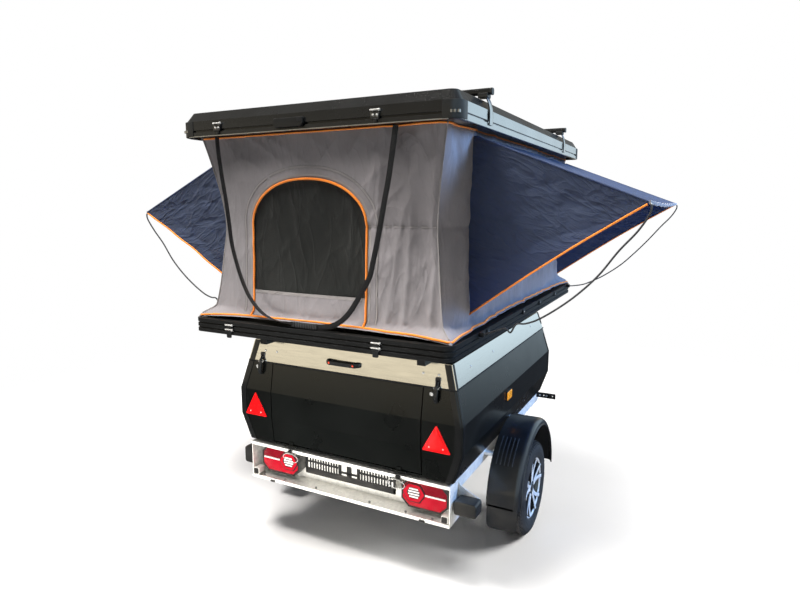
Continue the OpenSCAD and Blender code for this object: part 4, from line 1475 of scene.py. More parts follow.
    def latches(self) -> None:
        """Builds the two swing latches that draw the lid onto the box."""
        box = Extent.of("lid_latches")
        seam = Extent.of("side_wall_right").hi.z
        piece = Piece("lid_swing_latches", "lid", ["lid_latches"])
        for side in Side:
            x = side.value * (abs(box.hi.x) - 0.012)
            top = box.hi.z
            spine = [Vector((x, self.faces.back(z) - off, z)) for z, off in (
                (top - 0.004, 0.006), (top - 0.016, 0.013), (seam + 0.012, 0.017), (seam - 0.006, 0.019))]
            piece.sweep(smooth_path(spine, 5), rounded(rectangle(0.013, 0.009), 0.004), Finishes.latch,
                        wide=(1, 0, 0))
            low = [Vector((x, self.faces.back(z) - off, z)) for z, off in (
                (seam + 0.006, 0.016), (seam - 0.012, 0.0185), (seam - 0.04, 0.018),
                (box.lo.z + 0.008, 0.012), (box.lo.z + 0.001, 0.009))]
            piece.sweep(smooth_path(low, 5), rounded(rectangle(0.022, 0.011), 0.005), Finishes.plastic,
                        wide=(1, 0, 0), taper=lambda t: 1.0 - 0.25 * smoothstep(0.75, 1.0, t))
            hinge = self.faces.back(seam) - 0.012
            piece.lathe([(-0.013, 0.006), (0.013, 0.006)], (x, hinge, seam + 0.004), Axis.X,
                        Finishes.bright, 20)
            lock = Vector((x - 0.026, 0, seam - 0.028))
            y = self.faces.back(lock.z)
            piece.lathe([(-0.006, 0.0098), (-0.007, 0.009), (-0.0045, 0.0072), (-0.0045, 0.003),
                         (0.002, 0.0098)],
                        (lock.x, y, lock.z), Axis.Y, Finishes.bright, 24)
            plate = rounded(rectangle(0.026, 0.05, x, seam + 0.026), 0.006)
            piece.prism(plate, Axis.Y, self.faces.back(seam + 0.04) - 0.005,
                        self.faces.back(seam + 0.04) + 0.004, Finishes.latch, 0.0012)
        piece.finish(smooth=45)

    def hinges(self) -> None:
        """Adds pins to the lid's and the tailgate's hinges."""
        pins = Piece("hinge_pins", "trailer")
        found = {joint["name"]: joint.get("pos_m") for joint in frame["joints"]}
        for side in Side:
            for joint, low, high in (("lid_hinge", 0.268, 0.392), ("tailgate_hinge", 0.285, 0.353)):
                x0, x1 = side.span(low, high)
                _, y, z = found[joint]
                pins.lathe([(x0 - 0.004, 0.0035), (x0 - 0.002, 0.0042), (x1 + 0.002, 0.0042),
                            (x1 + 0.004, 0.0035)],
                           (0, y, z), Axis.X, Finishes.zinc, 14)
        pins.finish()

    def build(self) -> None:
        """Builds the box's details."""
        self.panels()
        self.edges()
        self.band_rivets()
        self.handle()
        self.latches()
        self.hinges()


# ---- Rear equipment -------------------------------------------------------------------------


@dataclass
class RearCarrier:
    """Everything on the galvanised carrier below the tailgate, and the triangle reflectors."""

    faces: Faces
    rim: float = 0.009
    left_shift: float = 0.024
    buffer_inner: float = 0.590
    buffer_right: float = 0.702
    buffer_left: float = 0.664
    comb_pitch: float = 0.0165

    def octagon(self, box: Extent, side: Side, inset: float = 0.0) -> list[Pair]:
        """Outline of one lamp in X and Z.

        Args:
            box: Extent of both lamps.
            side: Which lamp.
            inset: How far inside the lamp's edge the outline runs.

        Returns:
            The eight corners.
        """
        outer, inner = box.hi.x - inset, 2 * self.middle(box) - box.hi.x + inset
        z0, z1 = box.lo.z + inset, box.hi.z - inset
        cut = 0.038 - inset * 0.4
        points = [(inner + cut, z0), (outer - cut, z0), (outer, z0 + cut), (outer, z1 - cut),
                  (outer - cut, z1), (inner + cut, z1), (inner, z1 - cut), (inner, z0 + cut)]
        return [(side.value * x, z) for x, z in points]

    @staticmethod
    def middle(box: Extent) -> float:
        """X of the middle of the right lamp."""
        return box.hi.x - 0.125

    def lamps(self) -> None:
        """Builds the two tail lamps: housing, two-part lens, hexagon ring and clear bar."""
        box = Extent.of("rear_lamps")
        for side in Side:
            s, mid = side.value, self.middle(box)
            front = box.lo.y
            piece = Piece(f"tail_lamp_{side.word}", "trailer", ["rear_lamps"])
            piece.prism(self.octagon(box, side), Axis.Y, front + 0.012, box.hi.y, Finishes.plastic, 0.004, 3)
            face = self.octagon(box, side, self.rim)
            self.band(piece, self.octagon(box, side, 0.001), face, front + 0.004, front + 0.02,
                      Finishes.plastic)
            split = box.mid.z + 0.004
            low = self.cut(face, split, below=True)
            high = self.cut(face, split, below=False)
            piece.prism(low, Axis.Y, front + 0.003, front + 0.02, Finishes.lens_bright, 0.003, 3)
            piece.prism(high, Axis.Y, front + 0.004, front + 0.02, Finishes.lens_dark, 0.003, 3)
            hub = (s * (mid - 0.056), split)
            six, small = (
                [(hub[0] + a * math.cos(t), hub[1] + b * math.sin(t))
                 for t in (math.pi / 3 * k for k in range(6))]
                for a, b in ((0.058, 0.05), (0.039, 0.033))
            )
            wide = [(hub[0] + (x - hub[0]) * 1.12, hub[1] + (z - hub[1]) * 1.12) for x, z in six]
            piece.prism(rounded(wide, 0.01, 3), Axis.Y, front + 0.0018, front + 0.012, Finishes.seal, 0.001)
            self.band(piece, rounded(six, 0.01, 3), rounded(small, 0.008, 3), front, front + 0.012,
                      Finishes.lens_bright)
            piece.prism(rounded(small, 0.006, 3), Axis.Y, front + 0.0025, front + 0.01,
                        Finishes.lens_dark, 0.001)
            for k in range(4):
                z = hub[1] + (k - 1.5) * 0.0135
                half = 0.033 - abs(k - 1.5) * 0.006
                piece.block((hub[0] - half, front - 0.0002, z - 0.0042),
                            (hub[0] + half, front + 0.006, z + 0.0042), Finishes.lens_clear, 0.0012, 1)
            x0, x1 = side.span(mid + 0.004, box.hi.x - 0.014)
            piece.block((x0, front + 0.0004, split - 0.0045), (x1, front + 0.012, split + 0.0045),
                        Finishes.lens_clear, 0.0015)
            piece.finish()

    @staticmethod
    def cut(outline: Sequence[Pair], z: float, below: bool) -> list[Pair]:
        """Keeps the part of a convex outline on one side of a height."""
        keep: list[Pair] = []
        for (x0, z0), (x1, z1) in zip(outline, [*outline[1:], outline[0]]):
            inside = z0 <= z if below else z0 >= z
            if inside:
                keep.append((x0, z0))
            if (z0 - z) * (z1 - z) < 0:
                keep.append((x0 + (x1 - x0) * (z - z0) / (z1 - z0), z))
        return keep

    @staticmethod
    def band(
        piece: Piece, outer: Sequence[Pair], inner: Sequence[Pair], front: float, back: float, finish: Finish
    ) -> None:
        """Adds a flat ring between two outlines with as many points, facing the rear.

        Args:
            piece: Where it goes.
            outer: Outer outline in X and Z.
            inner: Inner outline in X and Z.
            front: Y of its face.
            back: Y of its back.
            finish: Its finish.
        """
        part = bmesh.new()
        rows = [
            [part.verts.new((x, y, z)) for x, z in outline]
            for outline, y in ((outer, back), (outer, front), (inner, front), (inner, back))
        ]
        skin(part, rows, looped=True)
        edges = [e for e in part.edges if e.calc_face_angle(0.0) > 0.5]
        bmesh.ops.bevel(part, geom=edges, offset=0.0012, segments=2, affect="EDGES", clamp_overlap=True)
        piece.add(part, finish)

    def plate(self) -> None:
        """Builds the number plate holder: a black lattice before a bright sheet, its field left blank."""
        box = Extent.of("plate_holder")
        piece = Piece("plate_lattice", "trailer", ["plate_holder"])
        z0, z1, front, back = box.lo.z, box.hi.z, box.lo.y, box.hi.y
        half = box.hi.x
        band, top = z0 + 0.03, z1 - 0.009
        outline = rounded(rectangle(2 * half, z1 - z0, 0.0, (z0 + z1) / 2), 0.008)
        piece.prism(outline, Axis.Y, back - 0.004, back, Finishes.galvanised, 0.0008)
        black = Finishes.plastic
        piece.block((-half, front, z0), (half, back - 0.003, band), black, 0.002)
        piece.block((-half, front, top), (half, back - 0.003, z1), black, 0.002)
        for side in Side:
            x0, x1 = side.span(half, half - 0.012)
            piece.block((x0, front, z0), (x1, back - 0.003, z1), black, 0.002)
        for x in (-0.056, 0.0, 0.056):
            wide = 0.008 if x else 0.013
            piece.block((x - wide, front + 0.001, band - 0.002), (x + wide, back - 0.003, top + 0.002),
                        black, 0.0012)
        shelf = band + 0.012
        piece.block((-0.062, front + 0.001, shelf), (0.062, back - 0.003, shelf + 0.010), black, 0.001)
        middle = (band + top) / 2
        for side in Side:
            x0, x1 = side.span(0.06, half)
            piece.block((x0, front + 0.002, middle - 0.004), (x1, back - 0.003, middle + 0.004), black, 0.001)
        spots = []
        for side in Side:
            x = 0.076
            while x < half - 0.014:
                spots.append(Spot(Vector((side.value * x, back - 0.004, middle)), REARWARD))
                x += self.comb_pitch
        piece.finish(smooth=40)
        tooth = brick_unit(top - band + 0.004, 0.0055, back - front - 0.0045, 0.9)
        Repeater.place("plate_comb", tooth, spots, black, "trailer")

    def triangles(self) -> None:
        """Builds the two rounded triangle reflectors with their frames and fixing dots."""
        box = Extent.of("triangle_reflectors")
        mid = (box.hi.x + 0.443) / 2
        half = box.hi.x - mid
        y = self.faces.back(box.mid.z)
        for side in Side:
            piece = Piece(f"triangle_reflector_{side.word}", "trailer", ["triangle_reflectors"])
            x = mid if side is Side.RIGHT else -mid - self.left_shift
            shape = [(x - half, box.lo.z), (x + half, box.lo.z), (x, box.hi.z)]
            outer = rounded(shape, 0.007, 6)
            core = Vector((x, box.lo.z + (box.hi.z - box.lo.z) / 3))
            inner = [tuple(core + (Vector(q) - core) * 0.86) for q in outer]
            piece.prism(outer, Axis.Y, y - 0.004, y + 0.002, Finishes.reflex_red, 0.0012)
            piece.prism(inner, Axis.Y, y - 0.0062, y - 0.002, Finishes.reflex_red, 0.0012)
            for dx in (-0.035, 0.035):
                piece.lathe([(-0.0068, 0.0034), (-0.0055, 0.0042), (-0.002, 0.0042)],
                            (x + dx, y, box.lo.z + 0.021), Axis.Y, Finishes.bright, 16)
            piece.finish()

    def corner_gear(self) -> None:
        """Builds the buffers, gussets, ring pins, tube plugs and foot pads of the carrier."""
        box = Extent.of("corner_buffers")
        rail = Extent.of("bumper_carrier")
        piece = Piece("carrier_end_buffers", "trailer", ["corner_buffers"])
        for side in Side:
            s = side.value
            reach = self.buffer_right if side is Side.RIGHT else self.buffer_left
            x0, x1 = side.span(self.buffer_inner, reach)
            top = box.hi.z - (0.026 if side is Side.RIGHT else 0.002)
            shape = rounded([(x0, box.lo.z), (x1, box.lo.z), (x1, top), (x0, top)], 0.016, 6)
            piece.prism(shape, Axis.Y, box.lo.y, box.hi.y - 0.01, Finishes.plastic, 0.007, 4)
            sweep = [(rail.hi.x - 0.004, rail.hi.z - 0.004), (rail.hi.x + 0.016, box.hi.z + 0.014),
                     (reach - 0.012, top - 0.004)]
            under = [(reach - 0.02, box.lo.z + 0.016), (rail.hi.x + 0.012, box.lo.z - 0.02),
                     (rail.hi.x - 0.004, rail.lo.z + 0.02)]
            plate = [(s * p.x, p.z) for line in (sweep, under)
                     for p in smooth_path([(a, 0, b) for a, b in line], 6)]
            piece.prism(plate, Axis.Y, box.hi.y - 0.012, box.hi.y - 0.006, Finishes.galvanised, 0.001)
        piece.finish()
        details = Piece("carrier_details", "trailer")
        front = rail.lo.y
        for side in Side:
            s = side.value
            x = s * 0.319
            z = rail.hi.z - 0.012
            details.block((x - 0.011, front - 0.009, z + 0.001), (x + 0.011, front + 0.004, z + 0.012),
                          Finishes.rail, 0.002)
            details.lathe([(-0.03, 0.0045), (0.034, 0.0045)], (x, front - 0.006, z - 0.005), Axis.X,
                          Finishes.zinc, 12)
            loop = [Vector((x - s * 0.006 + 0.046 * math.sin(t), front - 0.011 - 0.005 * math.cos(t),
                            z - 0.028 + 0.026 * math.cos(t)))
                    for t in (math.tau * k / 36 for k in range(36))]
            details.sweep(loop, ellipse(0.0034, 0.0034, 8), Finishes.bright, closed=True)
            x = s * (rail.hi.x - 0.026)
            tube = rounded(rectangle(0.034, 0.034, x, rail.lo.z + 0.036), 0.005)
            details.prism(tube, Axis.Y, front + 0.002, front + 0.05, Finishes.galvanised, 0.0015)
            plug = rounded(rectangle(0.028, 0.028, x, rail.lo.z + 0.036), 0.004)
            details.prism(plug, Axis.Y, front - 0.003, front + 0.01, Finishes.plastic, 0.002)
            x = s * 0.445
            details.block((x - 0.015, front - 0.005, rail.lo.z - 0.002),
                          (x + 0.015, front + 0.02, rail.lo.z + 0.009), Finishes.plastic, 0.003)
        details.finish()
        lip = [Spot(Vector((x, front - 0.0002, rail.lo.z + 0.03)), REARWARD)
               for x in (-0.5, -0.36, -0.16, 0.16, 0.36, 0.5)]
        Repeater.place("carrier_bolts", dome_unit(0.007, 0.005, 6), lip, Finishes.zinc, "trailer", smooth=20)

    def build(self) -> None:
        """Builds the rear equipment."""
        self.lamps()
        self.plate()
        self.triangles()
        self.corner_gear()


# ---- Side fittings --------------------------------------------------------------------------


@dataclass
class SideFittings:
    """Reflectors, bracket bolts and sill rivets on the box's sides."""

    faces: Faces

    def reflectors(self) -> None:
        """Builds the amber reflectors in their black frames."""
        box = Extent.of("side_reflectors")
        y0, y1, z0, z1 = box.lo.y - 0.012, box.hi.y + 0.012, box.lo.z, box.hi.z
        for side in Side:
            s = side.value
            piece = Piece(f"side_reflector_{side.word}", "trailer", ["side_reflectors"])
            x = s * (box.hi.x - 0.009)
            frame_line = rounded(rectangle(y1 - y0, z1 - z0, (y0 + y1) / 2, (z0 + z1) / 2), 0.008, 5)
            piece.prism(frame_line, Axis.X, *sorted((x - s * 0.001, x + s * 0.005)), Finishes.plastic, 0.0015)
            lens = rounded(rectangle(y1 - y0 - 0.01, z1 - z0 - 0.01, (y0 + y1) / 2, (z0 + z1) / 2), 0.006, 5)
            piece.prism(lens, Axis.X, *sorted((x, x + s * 0.0085)), Finishes.reflex_amber, 0.0025, 3)
            piece.finish()

    def bolts(self) -> None:
        """Sets bolts on the front brackets and rivets along the body sill."""
        box = Extent.of("side_brackets")
        spots = []
        for side in Side:
            for x in (0.61, 0.655):
                spots.append(Spot(Vector((side.value * x, box.lo.y + 0.0002, box.mid.z)), REARWARD))
        Repeater.place("bracket_bolts", dome_unit(0.0075, 0.006, 6), spots, Finishes.zinc,
                       "trailer", smooth=20)
        sill = []
        z = self.faces.side[0][0] + 0.02
        for side in Side:
            for y in (-1.2, -0.95, -0.1, 0.05, 0.27):
                sill.append(Spot(Vector((side.value * (self.faces.half(z) + 0.0002), y, z)),
                                 Vector((side.value, 0, -0.3)).normalized()))
        Repeater.place("sill_rivets", dome_unit(0.0055, 0.0028), sill, Finishes.profile, "trailer")

    def build(self) -> None:
        """Builds the side fittings."""
        self.reflectors()
        self.bolts()


# ---- Running gear ---------------------------------------------------------------------------


@dataclass
class RunningGear:
    """Tyres with cut tread, split-spoke wheels and mudguards."""

    rim_radius: float = 0.166
    blocks: int = 66
    spokes: int = 5
    guard_skin: float = 0.003

    def tyre(self, side: Side) -> None:
        """Builds one tyre and its tread blocks.

        Args:
            side: Which wheel.
        """
        name = f"tyre_{side.word}"
        box = Extent.of(name)
        c, radius, half = box.mid, box.size.z / 2, box.size.x / 2
        body = f"wheel_{side.word}"
        crown, rim = radius - 0.0055, self.rim_radius
        half_line = [
            (0.0, crown), (0.010, crown), (0.0102, crown + 0.005), (0.0125, crown + 0.0052), (0.0135, crown),
            (0.019, crown - 0.0005), (0.030, crown - 0.001), (0.0302, crown - 0.004), (0.036, crown - 0.004),
            (0.0362, crown - 0.0015), (0.050, crown - 0.003), (0.061, crown - 0.0075), (0.068, crown - 0.015),
            (0.0735, crown - 0.027), (0.0762, crown - 0.037), (0.0768, crown - 0.0375),
            (0.0770, crown - 0.0395),
            (0.0766, crown - 0.041), (half - 0.0003, crown - 0.052), (half, crown - 0.058),
            (half - 0.0012, crown - 0.0605), (half - 0.0016, crown - 0.070), (0.0752, crown - 0.079),
            (0.0728, crown - 0.084), (0.0722, rim + 0.004), (0.0665, rim - 0.001), (0.058, rim + 0.002),
            (0.052, rim + 0.012),
        ]
        loop = [(-a, r) for a, r in reversed(half_line[1:])] + half_line
        piece = Piece(f"{name}_carcass", body, [name])
        piece.lathe(loop, c, Axis.X, Finishes.tyre, 112, ring=True)
        piece.finish(smooth=28)
        rows = ((0.0225, 0.011, 0.0), (-0.0225, 0.011, 0.5), (0.0485, 0.017, 0.25), (-0.0485, 0.017, 0.75))
        for x, wide, shift in rows:
            spots = []
            for k in range(self.blocks):
                t = math.tau * (k + shift) / self.blocks
                out = Vector((0.0, math.cos(t), math.sin(t)))
                lean = 0.0 if abs(x) < 0.03 else math.copysign(0.16, x)
                facing = (out + Vector((lean, 0, 0))).normalized()
                drop = 0.0012 if abs(x) < 0.03 else 0.0035
                spots.append(Spot(c + Vector((x, 0, 0)) + out * (crown - drop), facing,
                                  Vector((0, -math.sin(t), math.cos(t)))
                                  + Vector((0.25 * math.copysign(1, x), 0, 0))))
            pitch = math.tau * radius / self.blocks
            unit = brick_unit(pitch * 0.8, wide, 0.0052, 0.9)
            Repeater.place(f"{name}_tread_{'in' if x * side.value < 0 else 'out'}_{int(abs(x) * 1000)}",
                           unit, spots, Finishes.tyre, body, smooth=20)
        lugs = []
        for k in range(self.blocks):
            t = math.tau * k / self.blocks
            out = Vector((0.0, math.cos(t), math.sin(t)))
            for s in (-1, 1):
                lugs.append(Spot(c + Vector((s * 0.0655, 0, 0)) + out * (crown - 0.0135),
                                 (out * 0.65 + Vector((s, 0, 0))).normalized(), out))
        lug = brick_unit(0.017, pitch * 0.55, 0.0034, 0.85)
        Repeater.place(f"{name}_shoulder_lugs", lug, lugs, Finishes.tyre, body, smooth=20)

    def rim(self, side: Side) -> None:
        """Builds one wheel: barrel, machined lip, five split spokes, cap and bolts.

        Args:
            side: Which wheel.
        """
        name = f"rim_{side.word}"
        box = Extent.of(f"tyre_{side.word}")
        c, s, r = box.mid, side.value, self.rim_radius
        face = 0.058
        piece = Piece(f"{name}_wheel", f"wheel_{side.word}", [name])
        barrel = [(-0.066, r - 0.003), (-0.066, r + 0.0015), (-0.056, r + 0.001), (-0.05, r - 0.008),
                  (0.046, r - 0.010), (0.058, r + 0.0005), (0.0655, r + 0.001), (0.0655, r - 0.004),
                  (0.06, r - 0.0095), (0.04, r - 0.016), (-0.056, r - 0.013)]
        piece.lathe([(s * a, b) for a, b in barrel], c, Axis.X, Finishes.alloy_black, 96, ring=True)
        lip = [(0.0658, r + 0.0008), (0.067, r - 0.0012), (0.0662, r - 0.0045), (0.0605, r - 0.0098),
               (0.0595, r - 0.0085), (0.064, r - 0.002)]
        piece.lathe([(s * a, b) for a, b in lip], c, Axis.X, Finishes.alloy, 96, ring=True)
        disc = [(face - 0.045, 0.0), (face - 0.045, 0.052), (face - 0.018, 0.058), (face - 0.008, 0.046),
                (face - 0.005, 0.034), (face - 0.006, 0.0)]
        piece.lathe([(s * a, b) for a, b in disc], c, Axis.X, Finishes.alloy_black, 48)
        for k in range(self.spokes):
            mid = math.tau * k / self.spokes + math.pi / 2
            for fork in (-1, 1):
                def at(radius: float, turn: float, out: float) -> Vector:
                    return c + Vector((s * out, radius * math.cos(mid + turn), radius * math.sin(mid + turn)))

                route = [at(0.036, fork * 0.16, face - 0.008), at(0.07, fork * 0.14, face - 0.0075),
                         at(0.105, fork * 0.17, face - 0.005), at(0.135, fork * 0.235, face - 0.001),
                         at(r - 0.008, fork * 0.27, face + 0.004)]
                path = smooth_path(route, 5)
                piece.sweep(path, rounded(rectangle(0.02, 0.025), 0.005, 3), Finishes.alloy_black,
                            wide=(s, 0, 0), taper=lambda t: 1.0 - 0.12 * t)
                top = [p + Vector((s * 0.0102, 0, 0)) for p in path]
                piece.sweep(top, rounded(rectangle(0.003, 0.0205), 0.001, 2), Finishes.alloy, wide=(s, 0, 0),
                            taper=lambda t: 1.0 - 0.1 * t)
        cap = [(face + 0.001, 0.0), (face + 0.001, 0.012), (face - 0.001, 0.026), (face - 0.005, 0.031),
               (face - 0.02, 0.032)]
        piece.lathe([(s * a, b) for a, b in cap], c, Axis.X, Finishes.plastic, 40)
        ring = [(face + 0.0005, 0.0215), (face + 0.0022, 0.0225), (face + 0.0018, 0.0248),
                (face - 0.002, 0.0255)]
        piece.lathe([(s * a, b) for a, b in ring], c, Axis.X, Finishes.bright, 40, ring=True)
        drum = [(-0.03, 0.0), (-0.03, 0.105), (-0.025, 0.112), (0.0, 0.112), (0.006, 0.1), (0.008, 0.0)]
        piece.lathe([(s * a, b) for a, b in drum], c, Axis.X, Finishes.axle, 40)
        piece.finish(smooth=32)
        bolts = []
        for k in range(5):
            t = math.tau * (k + 0.5) / 5 + math.pi / 2
            bolts.append(Spot(c + Vector((s * (face - 0.012), 0.046 * math.cos(t), 0.046 * math.sin(t))),
                              Vector((s, 0, 0))))
        Repeater.place(f"{name}_bolts", dome_unit(0.009, 0.008, 6, slot=True), bolts, Finishes.zinc,
                       f"wheel_{side.word}", smooth=20)
        place = c + Vector((s * (face - 0.014), r - 0.021, 0))
        valve = Piece(f"{name}_valve", f"wheel_{side.word}")
        valve.lathe([(0.0, 0.0045), (s * 0.016, 0.004), (s * 0.02, 0.0045), (s * 0.026, 0.0035)],
                    place, Axis.X, Finishes.plastic, 14)
        valve.finish()

    def guard(self, side: Side) -> None:
        """Builds one mudguard with its rolled flange, mud flap and ribs.

        Args:
            side: Which wheel.
        """
        name = f"mudguard_{side.word}"
        box = Extent.of(name)
        s, skin = side.value, self.guard_skin
        radius = box.size.y / 2
        cy, cz = box.mid.y, box.hi.z - radius
        inner, outer = sorted((abs(box.lo.x), abs(box.hi.x)))
        mid = (inner + outer) / 2
        upper: list[Pair] = [(inner, 0.012), (inner, 0.0045), (inner + 0.004, 0.0005), (inner + 0.012, 0.0)]
        turn = 0.03
        upper += [(outer - 0.004 - turn + turn * math.sin(t), turn - turn * math.cos(t))
                  for t in (math.pi / 2 * k / 7 for k in range(8))]
        upper += [(outer - 0.004, 0.030), (outer, 0.0325), (outer, 0.038)]
        lower = [(a - (skin if i > len(upper) - 9 else 0), b + (skin if i < len(upper) - 2 else 0))
                 for i, (a, b) in enumerate(upper)]
        lower[0] = (inner + skin, 0.012)
        section = [(s * (a - mid), b) for a, b in upper + lower[::-1]]
        path: Path = []
        for z in (box.lo.z + 0.118, box.lo.z + 0.13):
            path.append(Vector((s * mid, cy - radius, z)))
        for k in range(57):
            t = math.pi * (1 - k / 56)
            path.append(Vector((s * mid, cy + radius * math.cos(t), cz + radius * math.sin(t))))
        path.append(Vector((s * mid, cy + radius, cz - 0.004)))
        piece = Piece(f"{name}_skin", "trailer", [name])
        piece.sweep(path, section, Finishes.guard, wide=(1, 0, 0))
        x0, x1 = inner + 0.004, outer - 0.012
        flap = rounded([(x0, box.lo.z), (x1, box.lo.z), (x1, box.lo.z + 0.135), (x0, box.lo.z + 0.135)],
                       0.028, 6)
        piece.prism([(s * a, b) for a, b in flap], Axis.Y, cy - radius + 0.004, cy - radius + 0.0075,
                    Finishes.guard, 0.0012)
        piece.finish(smooth=30)
        ribs = []
        for k in range(5):
            for t in (math.radians(121 + 3.2 * j) for j in range(8)):
                out = Vector((0, -abs(math.cos(t)), math.sin(t)))
                at = Vector((s * (inner + 0.030 + 0.021 * k), cy, cz)) + out * (radius - 0.0004)
                ribs.append(Spot(at, out, Vector((0, -math.sin(t), math.cos(t)))))
        # Ribs in a lighter colour, a painted highlight along the ridges.
        Repeater.place(f"{name}_ribs", brick_unit(0.0225, 0.006, 0.0052, 0.7), ribs,
                       Finishes.guard_rib, "trailer")

    def build(self) -> None:
        """Builds both sides."""
        for side in Side:
            self.tyre(side)
            self.rim(side)
            self.guard(side)


# ---- Drawbar --------------------------------------------------------------------------------


@dataclass
class DrawGear:
    """Details of the drawbar, coupling and jockey wheel."""

    def build(self) -> None:
        """Dresses the CAD parts and adds the coupling's bolts."""
        dress(Finishes.zinc, "jockey_stem", "jockey_fork", "jockey_clamp")
        dress(Finishes.small_tyre, "jockey_wheel")
        head = Extent.of("coupling_head")
        bolts = []
        for y in (head.lo.y + 0.03, head.lo.y + 0.07):
            for side in Side:
                bolts.append(Spot(Vector((side.value * (head.hi.x - 0.0004), y, head.lo.z + 0.03)),
                                  Vector((side.value, 0, 0))))
        Repeater.place("coupling_bolts", dome_unit(0.009, 0.006, 6), bolts, Finishes.zinc,
                       "trailer", smooth=20)


# ---- Tray and roof shell --------------------------------------------------------------------


@dataclass
class HardShells:
    """Latches, rivets, corner mouldings, pull handle and load bars of the tray and the roof shell."""

    latch_width: float = 0.05

    def corner(self, piece: Piece, box: Extent, radius: float, z0: float, z1: float, reach: float) -> None:
        """Adds a moulded corner at each of the four corners of a rounded plate.

        Args:
            piece: Where they go.
            box: Extent of the plate.
            radius: Radius of its corners.
            z0: Lower end.
            z1: Upper end.
            reach: How far the moulding runs along each side.
        """
        for side in Side:
            for end in (-1, 1):
                x = side.value * box.hi.x
                y = box.lo.y if end < 0 else box.hi.y
                cx, cy = x - side.value * radius, y - end * radius
                path = [Vector((x - side.value * 0.0005, y - end * (radius + reach), 0)),
                        Vector((x, y - end * (radius + reach - 0.006), 0))]
                path += [Vector((cx + side.value * radius * math.cos(t), cy + end * radius * math.sin(t), 0))
                         for t in (math.pi / 2 * k / 10 for k in range(11))]
                path += [Vector((x - side.value * (radius + reach - 0.006), y, 0)),
                         Vector((x - side.value * (radius + reach), y - end * 0.0005, 0))]
                middle = (z0 + z1) / 2
                lifted = [p + Vector((0, 0, middle)) for p in path]
                piece.sweep(lifted, rounded(rectangle(z1 - z0, 0.006), 0.0025, 3), Finishes.plastic,
                            wide=(0, 0, 1))

    def latch(self, piece: Piece, x: float, y: float, z0: float, z1: float, single: bool = False) -> None:
        """Adds one draw latch on a rear face: body, tongue, bright bars and pins.

        Args:
            piece: Where it goes.
            x: Its middle.
            y: The rear face it sits on.
            z0: Its lower end.
            z1: Its upper end.
            single: True for one bar over two pins, as on the roof shell.
        """
        w = self.latch_width
        mid, high = (z0 + z1) / 2, z1 - z0
        body = [(x - w * 0.34, mid - high * 0.3), (x + w * 0.34, mid - high * 0.3),
                (x + w * 0.42, z1 - high * 0.22), (x - w * 0.42, z1 - high * 0.22)]
        piece.prism(rounded(body, 0.005), Axis.Y, y - 0.009, y + 0.003, Finishes.latch, 0.0015)
        piece.prism(rounded(rectangle(w * 0.34, high * 0.36, x, z0 + high * 0.16), 0.004), Axis.Y,
                    y - 0.007, y + 0.002, Finishes.plastic, 0.002)
        if not single:
            tongue = [(x - 0.013, z0 - 0.016), (x + 0.013, z0 - 0.016), (x + 0.017, mid), (x - 0.017, mid)]
            piece.prism(rounded(tongue, 0.006, 4), Axis.Y, y - 0.0105, y - 0.003, Finishes.plastic, 0.003, 3)
        bars = (z1 - high * 0.24,) if single else (z1 - high * 0.24, mid - high * 0.1)
        for z in bars:
            piece.lathe([(-w * 0.42, 0.0026), (-w * 0.41, 0.0034), (w * 0.41, 0.0034), (w * 0.42, 0.0026)],
                        (x, y - 0.0098, z), Axis.X, Finishes.bright, 14)
            piece.lathe([(-0.004, 0.0042), (-0.003, 0.0052), (0.003, 0.0052), (0.004, 0.0042)],
                        (x + w * 0.42, y - 0.0085, z), Axis.X, Finishes.bright, 14)
        if single:
            for dx in (-0.006, w * 0.24):
                piece.lathe([(-0.0125, 0.0026), (-0.0112, 0.0046), (-0.006, 0.0048)],
                            (x + dx, y, mid - high * 0.06), Axis.Y, Finishes.bright, 14)

    def tray(self) -> None:
        """Builds the tray's latches, side fittings and rivets."""
        dress(Finishes.rail, "tent_tray")
        box = Extent.of("tent_tray")
        latches = Piece("tray_draw_latches", "lid", ["tray_latches"])
        for x in (-0.456, 0.351):
            self.latch(latches, x, box.lo.y, box.lo.z + 0.003, box.hi.z - 0.002)
        for y in (0.168, 0.751, 1.096, 1.483):
            for side in Side:
                x0, x1 = side.span(box.hi.x - 0.001, box.hi.x + 0.006)
                at = y + REAR_Y
                plate = rounded(rectangle(0.034, 0.026, at, box.hi.z - 0.018), 0.005)
                latches.prism(plate, Axis.X, x0, x1, Finishes.plastic, 0.0015)
                latches.lathe([(side.value * (box.hi.x + 0.0055), 0.004),
                               (side.value * (box.hi.x + 0.0085), 0.003)],
                              (0, at, box.hi.z - 0.018), Axis.X, Finishes.bright, 14)
        latches.finish()
        spots = []
        for x in (-0.6, -0.28, -0.12, 0.1, 0.22, 0.6):
            spots.append(Spot(Vector((x, box.lo.y - 0.0002, box.lo.z + 0.0125)), REARWARD))
        for k in range(9):
            y = box.lo.y + 0.18 + k * (box.size.y - 0.36) / 8
            for side in Side:
                spots.append(Spot(Vector((side.value * (box.hi.x + 0.0002), y, box.lo.z + 0.0125)),
                                  Vector((side.value, 0, 0))))
        Repeater.place("tray_rivets", dome_unit(0.0042, 0.0018), spots, Finishes.profile, "lid")

